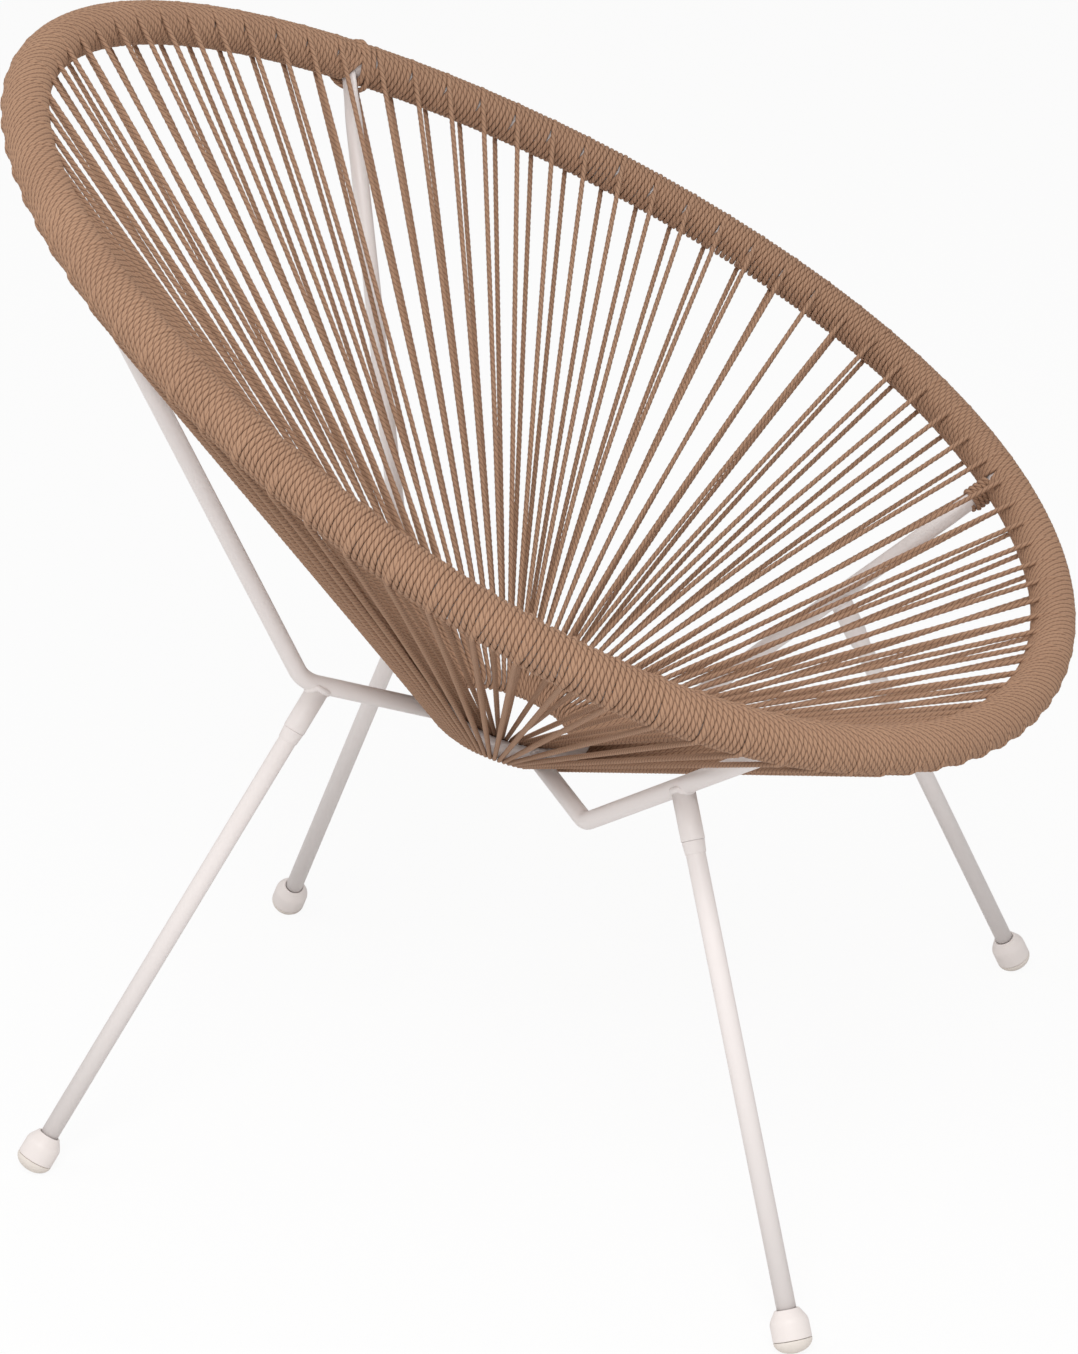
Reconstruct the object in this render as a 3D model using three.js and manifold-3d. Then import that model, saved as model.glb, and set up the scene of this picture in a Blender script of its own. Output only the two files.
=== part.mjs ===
// Lounge chair with an egg-shaped rim, an acapulco chair: rope wound round a tilted hoop and strung
// from it to a small hub ring, on a welded tube frame with four screwed legs.
// Sizes are millimetres, +Z is up and the sitter faces -Y. The origin is on the floor, under the
// middle of the rim. Left and right are the sitter's own, with left at +X.

import * as THREE from "three";
import { mergeVertices } from "three/addons/utils/BufferGeometryUtils.js";
import Module from "manifold-3d";

// Clearances
const FIT_GAP = 0.3;
const MERGE_DISTANCE = 0.0005;
const CUT_OVERRUN = 30;

// Rim hoop
const RIM_WIDTH = 726;
const RIM_LENGTH = 762.4;
const RIM_HEIGHT = 526.7;
const RIM_TILT_DEGREES = 29.54;
const RIM_EGG_SHARE = -0.131;
const RIM_FLAT_SIDE_SHARE = 0.008;
const RIM_TUBE_DIAMETER = 22;
const RIM_TUBE_WALL = 1.5;
const DRAIN_HOLE_DIAMETER = 5;

// Hub ring
const HUB_RADIUS = 51.5;
const HUB_BAR_DIAMETER = 12;
const HUB_HEIGHT = 273.2;
const HUB_SET_BACK = 25.3;
const HUB_TILT_DEGREES = 19.55;

// Rope
const WINDING_CORD_DIAMETER = 4.2;
const STRING_DIAMETER = 3.7;
const RIDGE_DEPTH = 1.2;
const BACK_STRING_LEAD = 4.9;
const SIDE_LOOP_COUNT = 21;
const FRONT_LOOP_COUNT = 22;
const BACK_LOOP_COUNT = 20;
const SECTOR_COUNT = 5;
const WINDING_TURNS = 14;
const BINDING_TURNS = 4;
const WINDING_ARM_GAP = 0.8;

// Frame arms
const ARM_DIAMETER = 12;
const ARM_WALL = 1.5;
const ARM_BEND_RADIUS = 14;
const ARM_FLAT_THICKNESS = 7;
const ARM_FLAT_WIDTH = 15;
const ARM_TAPER_LENGTH = 30;
const REAR_ARM_RIM_DEGREES = 46.5;
const REAR_ARM_HUB_DEGREES = 45.6;
const REAR_BEND_SIDE = 96.7;
const REAR_BEND_BACK = 136;
const REAR_BEND_ABOVE_HUB = 46.2;
const FRONT_ARM_RIM_DEGREES = 138.1;
const FRONT_ARM_HUB_DEGREES = 130;
const FRONT_BEND_SIDE = 112.5;
const FRONT_BEND_FORWARD = 65;
const FRONT_BEND_BELOW_HUB = 21.2;
const STRING_ARM_CLEARANCE = 0.3;
const ARM_END_SHARE = 0.5;

// Leg sockets and their threaded inserts
const REAR_SOCKET_FROM_BEND = 13;
const FRONT_SOCKET_FROM_BEND = 130.7;
const SOCKET_DIAMETER = 15.2;
const SOCKET_WALL = 1.6;
const SOCKET_REACH = 34.5;
const SOCKET_TOP_SHARE = 0.5;
const INSERT_LENGTH = 17;
const INSERT_RECESS = 0.8;

// Legs and their turned studs
const LEG_DIAMETER = 12.4;
const LEG_WALL = 1.5;
const COLLAR_TOP_DIAMETER = 14.6;
const COLLAR_FOOT_DIAMETER = 13.3;
const COLLAR_LENGTH = 8.3;
const COLLAR_EDGE = 0.7;
const STUD_DIAMETER = 8;
const STUD_LENGTH = 15;
const STUD_POINT = 1.2;
const SPIGOT_LENGTH = 16;

// Feet
const REAR_FEET_APART = 455.6;
const REAR_FEET_BACK = 282.2;
const FRONT_FEET_APART = 603.6;
const FRONT_FEET_FORWARD = 261.6;
const CAP_DIAMETER = 24.5;
const CAP_MOUTH_DIAMETER = 15.6;
const CAP_SHOULDER = 7;
const CAP_SIDE = 12;
const CAP_LEG_DEPTH = 13;
const PAD_DOME = 8.5;
const PAD_FLAT_DEPTH = 1.2;
const PEG_DIAMETER = 7;
const PEG_LENGTH = 4;

// Facets
const HOOP_STEPS = 35;
const HUB_STEPS = 32;
const TUBE_SIDES = 8;
const TURNED_SIDES = 12;
const STRING_SIDES = 4;
const TURN_STEPS = 8;
const BEND_STEPS = 4;
const DOME_STEPS = 4;
const RIM_DIVISIONS = 720;
const LEAN_ROUNDS = 4;
const FULL_TURN_DEGREES = 360;
const RIDGE_END_TURNS = 2;

// Finishes
const FINISHES = {
  paint: { color: 0xd3cac6, roughness: 0.42, metalness: 0.0 },
  rope: { color: 0xa07c63, roughness: 0.85, metalness: 0.0 },
  zinc: { color: 0xb9bcc0, roughness: 0.35, metalness: 1.0 },
  plastic: { color: 0xcfc6c1, roughness: 0.5, metalness: 0.0 },
  rubber: { color: 0xc9beb2, roughness: 0.75, metalness: 0.0 },
};

// Sizes that follow from the ones above
const FULL_TURN = 2 * Math.PI;
const RIM_RADIUS = RIM_TUBE_DIAMETER / 2;
const WINDING_RADIUS = RIM_RADIUS + WINDING_CORD_DIAMETER;
const STRING_RADIUS = STRING_DIAMETER / 2;
const HUB_BAR_RADIUS = HUB_BAR_DIAMETER / 2;
const ARM_RADIUS = ARM_DIAMETER / 2;
const RIM_NORMAL = new THREE.Vector3(0, 0, 1).applyAxisAngle(
  new THREE.Vector3(1, 0, 0),
  THREE.MathUtils.degToRad(RIM_TILT_DEGREES),
);

const wasm = await Module();
wasm.setup();
const chair = new THREE.Group();

// Vectors

function unit(vector) {
  return vector.clone().normalize();
}

function cross(first, second) {
  return new THREE.Vector3().crossVectors(first, second).normalize();
}

function towards(from, to) {
  return to.clone().sub(from).normalize();
}

// The point that lies so far along each direction from a start.
function offset(start, ...moves) {
  const point = start.clone();
  for (const [direction, distance] of moves) {
    point.addScaledVector(direction, distance);
  }
  return point;
}

// The part of a vector that is square to a direction, as a unit vector.
function squareTo(vector, direction) {
  return vector.clone().addScaledVector(direction, -vector.dot(direction)).normalize();
}

function mirrored(point, side) {
  return new THREE.Vector3(point.x * side, point.y, point.z);
}

// Closed meshes

function addPiece(name, geometry, finish) {
  geometry.computeVertexNormals();
  const mesh = new THREE.Mesh(geometry, new THREE.MeshStandardMaterial(FINISHES[finish]));
  mesh.name = name;
  chair.add(mesh);
  return mesh;
}

function geometryFromTriangles(points, triangles) {
  const corners = triangles.flatMap((index) => points[index].toArray());
  const geometry = new THREE.BufferGeometry();
  geometry.setAttribute("position", new THREE.Float32BufferAttribute(corners, 3));
  return geometry;
}

function solidFrom(geometry) {
  const bare = new THREE.BufferGeometry();
  bare.setAttribute("position", geometry.getAttribute("position").clone());
  bare.setIndex(geometry.index);
  const merged = mergeVertices(bare, MERGE_DISTANCE);
  const index = merged.index.array;
  const kept = [];
  for (let i = 0; i < index.length; i += 3) {
    const [a, b, c] = index.slice(i, i + 3);
    if (a !== b && b !== c && c !== a) {
      kept.push(a, b, c);
    }
  }
  const mesh = new wasm.Mesh({
    numProp: 3,
    vertProperties: new Float32Array(merged.getAttribute("position").array),
    triVerts: new Uint32Array(kept),
  });
  return new wasm.Manifold(mesh);
}

function geometryFromSolid(solid) {
  const mesh = solid.getMesh();
  const points = [];
  for (let i = 0; i < mesh.numVert; i += 1) {
    const start = i * mesh.numProp;
    points.push(new THREE.Vector3(...mesh.vertProperties.slice(start, start + 3)));
  }
  return geometryFromTriangles(points, Array.from(mesh.triVerts));
}

// The triangles between two rings of points, given by the index of each ring's first point. The
// faces point outwards where a ring runs clockwise for an eye that looks from the first to the
// second, and a bore's band is the same one turned round.
function band(first, second, sides, isBore = false) {
  const triangles = [];
  for (let k = 0; k < sides; k += 1) {
    const next = (k + 1) % sides;
    for (const [a, b, c] of [
      [first + k, first + next, second + next],
      [first + k, second + next, second + k],
    ]) {
      triangles.push(a, isBore ? c : b, isBore ? b : c);
    }
  }
  return triangles;
}

// A solid bar through rings of points, either closed on itself or with flat ends.
function barGeometry(rings, isLoop = false) {
  const sides = rings[0].length;
  const points = rings.flat();
  const triangles = [];
  for (let r = 0; r + 1 < rings.length; r += 1) {
    triangles.push(...band(r * sides, (r + 1) * sides, sides));
  }
  const last = (rings.length - 1) * sides;
  if (isLoop) {
    triangles.push(...band(last, 0, sides));
  } else {
    for (let k = 1; k + 1 < sides; k += 1) {
      triangles.push(0, k + 1, k);
      triangles.push(last, last + k, last + k + 1);
    }
  }
  return geometryFromTriangles(points, triangles);
}

// A hollow tube from the rings of its outside and of its bore, which pair up.
function tubeGeometry(outer, bore, isLoop = false) {
  const sides = outer[0].length;
  const points = [...outer.flat(), ...bore.flat()];
  const boreStart = outer.length * sides;
  const last = (outer.length - 1) * sides;
  const triangles = [];
  for (let r = 0; r + 1 < outer.length; r += 1) {
    triangles.push(...band(r * sides, (r + 1) * sides, sides));
    triangles.push(...band(boreStart + r * sides, boreStart + (r + 1) * sides, sides, true));
  }
  if (isLoop) {
    triangles.push(...band(last, 0, sides));
    triangles.push(...band(boreStart + last, boreStart, sides, true));
  } else {
    triangles.push(...band(boreStart, 0, sides));
    triangles.push(...band(last, boreStart + last, sides));
  }
  return geometryFromTriangles(points, triangles);
}

// A ring of points round a centre, square to a direction. Its first point lies towards the
// reference, and the two half widths are measured along the reference and across it.
function ringOf(centre, direction, reference, halfAlong, halfAcross, sides) {
  const first = squareTo(reference, direction);
  const second = cross(direction, first);
  const ring = [];
  for (let k = 0; k < sides; k += 1) {
    const angle = (FULL_TURN * k) / sides;
    const along = halfAlong * Math.cos(angle);
    const across = halfAcross * Math.sin(angle);
    ring.push(offset(centre, [first, along], [second, across]));
  }
  return ring;
}

// Rings along a broken line, each on the plane that halves its corner.
function ringsAlong(points, reference, radius, sides) {
  return points.map((point, i) => {
    const before = towards(points[Math.max(i - 1, 0)], points[Math.max(i, 1)]);
    const last = points.length - 1;
    const after = towards(points[Math.min(i, last - 1)], points[Math.min(i + 1, last)]);
    return ringOf(point, unit(before.add(after)), reference, radius, radius, sides);
  });
}

// The rim: an ellipse with one end wider than the other, leaning back

class RimCurve extends THREE.Curve {
  getPoint(share) {
    const angle = FULL_TURN * share;
    const egg = RIM_EGG_SHARE * Math.cos(angle);
    const flatSides = RIM_FLAT_SIDE_SHARE * Math.cos(2 * angle);
    const across = (RIM_WIDTH / 2) * Math.sin(angle) * (1 + egg + flatSides);
    const along = (RIM_LENGTH / 2) * Math.cos(angle);
    const tilt = THREE.MathUtils.degToRad(RIM_TILT_DEGREES);
    return new THREE.Vector3(
      across,
      along * Math.cos(tilt),
      RIM_HEIGHT + along * Math.sin(tilt),
    );
  }
}

const rim = new RimCurve();
rim.arcLengthDivisions = RIM_DIVISIONS;

// Where the rim is at a distance round it from the middle of the back, towards the left.
function rimAt(distance) {
  const share = THREE.MathUtils.euclideanModulo(distance / rim.getLength(), 1);
  const point = rim.getPointAt(share);
  const tangent = rim.getTangentAt(share);
  return { point, tangent, outwards: cross(RIM_NORMAL, tangent) };
}

function rimDistance(degrees) {
  const lengths = rim.getLengths();
  const place = (degrees / FULL_TURN_DEGREES) * (lengths.length - 1);
  const step = Math.floor(place);
  return THREE.MathUtils.lerp(lengths[step], lengths[step + 1], place - step);
}

// A point on a tube round the rim, at an angle from its outer side.
function roundRim(distance, angle, radius) {
  const { point, outwards } = rimAt(distance);
  return offset(
    point,
    [outwards, radius * Math.cos(angle)],
    [RIM_NORMAL, radius * Math.sin(angle)],
  );
}

// The hoop is faceted, so what is wound on it follows its facets.
const HOOP_STEP_LENGTH = rim.getLength() / HOOP_STEPS;

function roundHoop(distance, angle, radius) {
  const step = Math.floor(distance / HOOP_STEP_LENGTH);
  const start = roundRim(step * HOOP_STEP_LENGTH, angle, radius);
  const end = roundRim((step + 1) * HOOP_STEP_LENGTH, angle, radius);
  return start.lerp(end, distance / HOOP_STEP_LENGTH - step);
}

function sideAngles(sides) {
  return Array.from({ length: sides }, (_, k) => (FULL_TURN * k) / sides);
}

function hoopRings(radius) {
  const rings = [];
  for (let step = 0; step < HOOP_STEPS; step += 1) {
    const distance = step * HOOP_STEP_LENGTH;
    rings.push(sideAngles(TUBE_SIDES).map((angle) => roundRim(distance, angle, radius)));
  }
  return rings;
}

function addHoop() {
  const bore = RIM_RADIUS - RIM_TUBE_WALL;
  const tube = solidFrom(tubeGeometry(hoopRings(RIM_RADIUS), hoopRings(bore), true));
  const low = rimAt(rim.getLength() / 2).point;
  const radius = DRAIN_HOLE_DIAMETER / 2;
  const drill = new THREE.CylinderGeometry(radius, radius, RIM_TUBE_DIAMETER, TUBE_SIDES);
  drill.rotateX(Math.PI / 2);
  drill.translate(low.x, low.y, low.z - RIM_RADIUS);
  addPiece("rim_hoop", geometryFromSolid(tube.subtract(solidFrom(drill))), "paint");
}

// The hub ring

function hubAt(degrees) {
  const angle = THREE.MathUtils.degToRad(degrees);
  const tilt = THREE.MathUtils.degToRad(HUB_TILT_DEGREES);
  const along = HUB_RADIUS * Math.cos(angle);
  const point = new THREE.Vector3(
    HUB_RADIUS * Math.sin(angle),
    HUB_SET_BACK + along * Math.cos(tilt),
    HUB_HEIGHT + along * Math.sin(tilt),
  );
  const tangent = new THREE.Vector3(
    Math.cos(angle),
    -Math.sin(angle) * Math.cos(tilt),
    -Math.sin(angle) * Math.sin(tilt),
  );
  return { point, tangent };
}

function hubGeometry(radius) {
  const up = new THREE.Vector3(0, 0, 1);
  const rings = [];
  for (let step = 0; step < HUB_STEPS; step += 1) {
    const { point, tangent } = hubAt((FULL_TURN_DEGREES * step) / HUB_STEPS);
    rings.push(ringOf(point, tangent, up, radius, radius, TUBE_SIDES));
  }
  return barGeometry(rings, true);
}

// Frame arms: from the hoop down to a bend and in to the hub ring

const ARMS = {
  rear_left: {
    side: 1,
    rimDegrees: REAR_ARM_RIM_DEGREES,
    hubDegrees: REAR_ARM_HUB_DEGREES,
    bend: [REAR_BEND_SIDE, REAR_BEND_BACK, HUB_HEIGHT + REAR_BEND_ABOVE_HUB],
  },
  front_left: {
    side: 1,
    rimDegrees: FRONT_ARM_RIM_DEGREES,
    hubDegrees: FRONT_ARM_HUB_DEGREES,
    bend: [FRONT_BEND_SIDE, -FRONT_BEND_FORWARD, HUB_HEIGHT - FRONT_BEND_BELOW_HUB],
  },
};
ARMS.front_right = { ...ARMS.front_left, side: -1 };
ARMS.rear_right = { ...ARMS.rear_left, side: -1 };

// The line of an arm and what it meets, on its own side of the chair.
function armLine(arm) {
  const degrees = arm.side > 0 ? arm.rimDegrees : FULL_TURN_DEGREES - arm.rimDegrees;
  const distance = rimDistance(degrees);
  const { point: rimEnd, tangent } = rimAt(distance);
  const bend = mirrored(new THREE.Vector3(...arm.bend), arm.side);
  const hubEnd = hubAt(arm.side * arm.hubDegrees).point;
  const down = towards(rimEnd, bend);
  const inwards = towards(bend, hubEnd);
  return { distance, tangent, rimEnd, bend, hubEnd, down, inwards };
}

// An arm leans along the rim, so its end crosses the winding a little to one side of its mark.
function armLean(line) {
  return Math.PI / 2 - line.down.angleTo(line.tangent);
}

// The binding starts where it clears the rim winding, and the arm is flat up to there.
function bindingStart(line) {
  const lean = Math.abs(armLean(line));
  const halfAlong = ARM_FLAT_THICKNESS / 2 + WINDING_CORD_DIAMETER;
  return (WINDING_RADIUS + FIT_GAP + halfAlong * Math.sin(lean)) / Math.cos(lean);
}

const BINDING_LENGTH = BINDING_TURNS * WINDING_CORD_DIAMETER;

// Half the width of an arm along the rim and across it, at a distance from the hoop's middle.
function armHalves(line, distance) {
  const taper = (distance - bindingStart(line)) / ARM_TAPER_LENGTH;
  const share = THREE.MathUtils.clamp(taper, 0, 1);
  return {
    along: THREE.MathUtils.lerp(ARM_FLAT_THICKNESS, ARM_DIAMETER, share) / 2,
    across: THREE.MathUtils.lerp(ARM_FLAT_WIDTH, ARM_DIAMETER, share) / 2,
  };
}

function armRings(line, growth) {
  const ring = (centre, direction, halves) =>
    ringOf(
      centre,
      direction,
      line.tangent,
      halves.along + growth,
      halves.across + growth,
      TUBE_SIDES,
    );
  const flatEnd = bindingStart(line);
  const taperEnd = flatEnd + ARM_TAPER_LENGTH;
  const rings = [0, flatEnd, flatEnd + BINDING_LENGTH, taperEnd].map((distance) =>
    ring(offset(line.rimEnd, [line.down, distance]), line.down, armHalves(line, distance)),
  );
  const round = armHalves(line, taperEnd);
  const bendAngle = line.down.angleTo(line.inwards);
  const tangentLength = ARM_BEND_RADIUS * Math.tan(bendAngle / 2);
  const bendStart = offset(line.bend, [line.down, -tangentLength]);
  const axis = cross(line.down, line.inwards);
  const toCentre = cross(axis, line.down);
  const centre = offset(bendStart, [toCentre, ARM_BEND_RADIUS]);
  for (let step = 0; step <= BEND_STEPS; step += 1) {
    const angle = (bendAngle * step) / BEND_STEPS;
    const spoke = toCentre.clone().negate().applyAxisAngle(axis, angle);
    const direction = line.down.clone().applyAxisAngle(axis, angle);
    rings.push(ring(offset(centre, [spoke, ARM_BEND_RADIUS]), direction, round));
  }
  const shortOfHub = -HUB_BAR_RADIUS * ARM_END_SHARE;
  rings.push(ring(offset(line.hubEnd, [line.inwards, shortOfHub]), line.inwards, round));
  return rings;
}

function addArm(name, line, hoopCut, hubCut) {
  const tube = solidFrom(tubeGeometry(armRings(line, 0), armRings(line, -ARM_WALL)));
  const coped = tube.subtract(hoopCut).subtract(hubCut);
  addPiece(`arm_${name}`, geometryFromSolid(coped), "paint");
}

// Legs, each turned about one line from its arm to its foot

const LEGS = {
  rear_left: { apart: REAR_FEET_APART, back: REAR_FEET_BACK },
  front_left: { apart: FRONT_FEET_APART, back: -FRONT_FEET_FORWARD },
  front_right: { apart: FRONT_FEET_APART, back: -FRONT_FEET_FORWARD },
  rear_right: { apart: REAR_FEET_APART, back: REAR_FEET_BACK },
};

// How far a domed pad reaches below the middle of its seam when it leans.
function padReach(lean) {
  return Math.hypot(PAD_DOME * Math.cos(lean), (CAP_DIAMETER / 2) * Math.sin(lean));
}

// Where a leg leaves its arm, its direction, and the distance from there to the pad's seam.
function legLine(leg, arm, line) {
  const isRear = leg.back > 0;
  const start = isRear
    ? offset(line.bend, [line.inwards, REAR_SOCKET_FROM_BEND])
    : offset(line.bend, [line.down, -FRONT_SOCKET_FROM_BEND]);
  const seam = new THREE.Vector3((arm.side * leg.apart) / 2, leg.back, PAD_DOME);
  const floorwards = new THREE.Vector3(0, 0, -1);
  for (let round = 0; round < LEAN_ROUNDS; round += 1) {
    seam.z = padReach(towards(start, seam).angleTo(floorwards)) - PAD_FLAT_DEPTH;
  }
  return { start, direction: towards(start, seam), length: start.distanceTo(seam) };
}

// A turned piece: its outline is a list of [radius, distance from the arm's middle].
function turnedGeometry(outline, { start, direction }) {
  const points = outline.map(([radius, distance]) => new THREE.Vector2(radius, -distance));
  const geometry = new THREE.LatheGeometry(points, TURNED_SIDES);
  const upwards = direction.clone().negate();
  const turn = new THREE.Quaternion().setFromUnitVectors(new THREE.Vector3(0, 1, 0), upwards);
  geometry.applyQuaternion(turn);
  geometry.translate(start.x, start.y, start.z);
  return geometry;
}

function sleeveOutline(radius, bore, top, foot) {
  return [
    [bore, foot],
    [radius, foot],
    [radius, top],
    [bore, top],
    [bore, foot],
  ];
}

const SOCKET_BORE_RADIUS = SOCKET_DIAMETER / 2 - SOCKET_WALL;
const STUD_RADIUS = STUD_DIAMETER / 2;
const LEG_BORE_RADIUS = LEG_DIAMETER / 2 - LEG_WALL;
const COLLAR_TOP = SOCKET_REACH + FIT_GAP;
const COLLAR_FOOT = COLLAR_TOP + COLLAR_LENGTH;

function addSocket(name, leg, armCut) {
  const top = ARM_RADIUS * SOCKET_TOP_SHARE;
  const outline = sleeveOutline(SOCKET_DIAMETER / 2, SOCKET_BORE_RADIUS, top, SOCKET_REACH);
  const coped = solidFrom(turnedGeometry(outline, leg)).subtract(armCut);
  addPiece(`socket_${name}`, geometryFromSolid(coped), "paint");
}

function addInsert(name, leg) {
  const foot = SOCKET_REACH - INSERT_RECESS;
  const outline = sleeveOutline(
    SOCKET_BORE_RADIUS - FIT_GAP,
    STUD_RADIUS + FIT_GAP,
    foot - INSERT_LENGTH,
    foot,
  );
  addPiece(`socket_insert_${name}`, turnedGeometry(outline, leg), "zinc");
}

function addStud(name, leg) {
  const spigotRadius = LEG_BORE_RADIUS - FIT_GAP;
  const outline = [
    [0, COLLAR_FOOT + SPIGOT_LENGTH],
    [spigotRadius, COLLAR_FOOT + SPIGOT_LENGTH],
    [spigotRadius, COLLAR_FOOT],
    [COLLAR_FOOT_DIAMETER / 2, COLLAR_FOOT],
    [COLLAR_TOP_DIAMETER / 2, COLLAR_TOP + COLLAR_EDGE],
    [COLLAR_TOP_DIAMETER / 2 - COLLAR_EDGE, COLLAR_TOP],
    [STUD_RADIUS, COLLAR_TOP],
    [STUD_RADIUS, COLLAR_TOP - STUD_LENGTH],
    [STUD_RADIUS - STUD_POINT, COLLAR_TOP - STUD_LENGTH - STUD_POINT],
    [0, COLLAR_TOP - STUD_LENGTH - STUD_POINT],
  ];
  addPiece(`leg_stud_${name}`, turnedGeometry(outline, leg), "paint");
}

function addLegTube(name, leg, capTop) {
  const outline = sleeveOutline(
    LEG_DIAMETER / 2,
    LEG_BORE_RADIUS,
    COLLAR_FOOT + FIT_GAP,
    capTop + CAP_LEG_DEPTH,
  );
  addPiece(`leg_tube_${name}`, turnedGeometry(outline, leg), "paint");
}

// The cap is a cup for the leg above and a socket for the pad's peg below.
function addFootCap(name, leg, capTop, seam) {
  const legHole = LEG_DIAMETER / 2 + FIT_GAP;
  const pegHole = PEG_DIAMETER / 2 + FIT_GAP;
  const floor = capTop + CAP_LEG_DEPTH + FIT_GAP;
  const outline = [
    [pegHole, seam],
    [CAP_DIAMETER / 2, seam],
    [CAP_DIAMETER / 2, seam - CAP_SIDE],
    [CAP_MOUTH_DIAMETER / 2, capTop],
    [legHole, capTop],
    [legHole, floor],
    [pegHole, floor],
    [pegHole, seam],
  ];
  addPiece(`foot_cap_${name}`, turnedGeometry(outline, leg), "plastic");
}

function addFootPad(name, leg, seam, floorCut) {
  const top = seam + FIT_GAP;
  const outline = [];
  for (let step = 0; step <= DOME_STEPS; step += 1) {
    const angle = ((Math.PI / 2) * step) / DOME_STEPS;
    const radius = (CAP_DIAMETER / 2) * Math.sin(angle);
    outline.push([radius, top + (PAD_DOME - FIT_GAP) * Math.cos(angle)]);
  }
  outline.push([PEG_DIAMETER / 2, top], [PEG_DIAMETER / 2, top - PEG_LENGTH]);
  outline.push([0, top - PEG_LENGTH]);
  const pad = solidFrom(turnedGeometry(outline, leg)).subtract(floorCut);
  addPiece(`foot_pad_${name}`, geometryFromSolid(pad), "rubber");
}

function floorCutAt(leg) {
  const side = CAP_DIAMETER + CUT_OVERRUN;
  const box = new THREE.BoxGeometry(side, side, CUT_OVERRUN);
  const foot = offset(leg.start, [leg.direction, leg.length]);
  box.translate(foot.x, foot.y, -CUT_OVERRUN / 2);
  return solidFrom(box);
}

// Windings: a sleeve of rope whose outside is one helical ridge

// crest, valley and bore give a point at a distance along the sleeve and an angle round it. The
// ridge starts and ends with a flat ring, and its step there is closed by two triangles.
function windingGeometry({ start, length, turns, boreStations, crest, valley, bore }) {
  const points = [];
  const triangles = [];
  const add = (point) => points.push(point) - 1;
  const angles = sideAngles(TURN_STEPS);
  const pitch = length / (turns + RIDGE_END_TURNS);
  const steps = turns * TURN_STEPS;
  const angleAt = (step) => (FULL_TURN * step) / TURN_STEPS;
  const first = start + pitch / 2;
  const crests = [];
  const valleys = [];
  for (let step = 0; step <= steps + TURN_STEPS; step += 1) {
    crests.push(add(crest(first + (pitch * step) / TURN_STEPS, angleAt(step))));
  }
  for (let step = 0; step <= steps; step += 1) {
    const distance = first + pitch / 2 + (pitch * step) / TURN_STEPS;
    valleys.push(add(valley(distance, angleAt(step))));
  }
  const quad = (a, b, c, d) => triangles.push(a, b, c, a, c, d);
  for (let step = 0; step < steps; step += 1) {
    quad(crests[step], crests[step + 1], valleys[step + 1], valleys[step]);
    const nextTurn = step + TURN_STEPS;
    quad(valleys[step], valleys[step + 1], crests[nextTurn + 1], crests[nextTurn]);
  }
  const startRing = angles.map((angle) => add(valley(start, angle)));
  const endRing = angles.map((angle) => add(valley(start + length, angle)));
  for (let k = 0; k < TURN_STEPS; k += 1) {
    const next = (k + 1) % TURN_STEPS;
    quad(startRing[k], startRing[next], crests[k + 1], crests[k]);
    quad(crests[steps + k], crests[steps + k + 1], endRing[next], endRing[k]);
  }
  const lastCrest = crests[steps + TURN_STEPS];
  triangles.push(startRing[0], crests[0], valleys[0]);
  triangles.push(startRing[0], valleys[0], crests[TURN_STEPS]);
  triangles.push(endRing[0], lastCrest, valleys[steps]);
  triangles.push(endRing[0], valleys[steps], crests[steps]);
  const boreRings = boreStations.map((distance) =>
    angles.map((angle) => add(bore(distance, angle))),
  );
  for (let r = 0; r + 1 < boreRings.length; r += 1) {
    triangles.push(...band(boreRings[r][0], boreRings[r + 1][0], TURN_STEPS, true));
  }
  triangles.push(...band(boreRings[0][0], startRing[0], TURN_STEPS));
  triangles.push(...band(endRing[0], boreRings.at(-1)[0], TURN_STEPS));
  return geometryFromTriangles(points, triangles);
}

// The rim winding between two arms stops beside each arm's flattened end.
function addRimWinding(name, from, to) {
  const start = from.distance + armCentreShift(from) + armGapHalf(from);
  let end = to.distance + armCentreShift(to) - armGapHalf(to);
  if (end < start) {
    end += rim.getLength();
  }
  const boreStations = [start];
  for (
    let step = Math.floor(start / HOOP_STEP_LENGTH) + 1;
    step * HOOP_STEP_LENGTH < end;
    step += 1
  ) {
    boreStations.push(step * HOOP_STEP_LENGTH);
  }
  boreStations.push(end);
  const geometry = windingGeometry({
    start,
    length: end - start,
    turns: WINDING_TURNS,
    boreStations,
    crest: (distance, angle) => roundRim(distance, angle, WINDING_RADIUS),
    valley: (distance, angle) => roundRim(distance, angle, WINDING_RADIUS - RIDGE_DEPTH),
    bore: (distance, angle) => roundHoop(distance, angle, RIM_RADIUS + FIT_GAP),
  });
  addPiece(`rim_winding_${name}`, geometry, "rope");
}

function armCentreShift(line) {
  return Math.tan(armLean(line)) * (RIM_RADIUS + WINDING_CORD_DIAMETER / 2);
}

function armGapHalf(line) {
  const drift = (Math.tan(Math.abs(armLean(line))) * WINDING_CORD_DIAMETER) / 2;
  return ARM_FLAT_THICKNESS / 2 + drift + WINDING_ARM_GAP;
}

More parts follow.
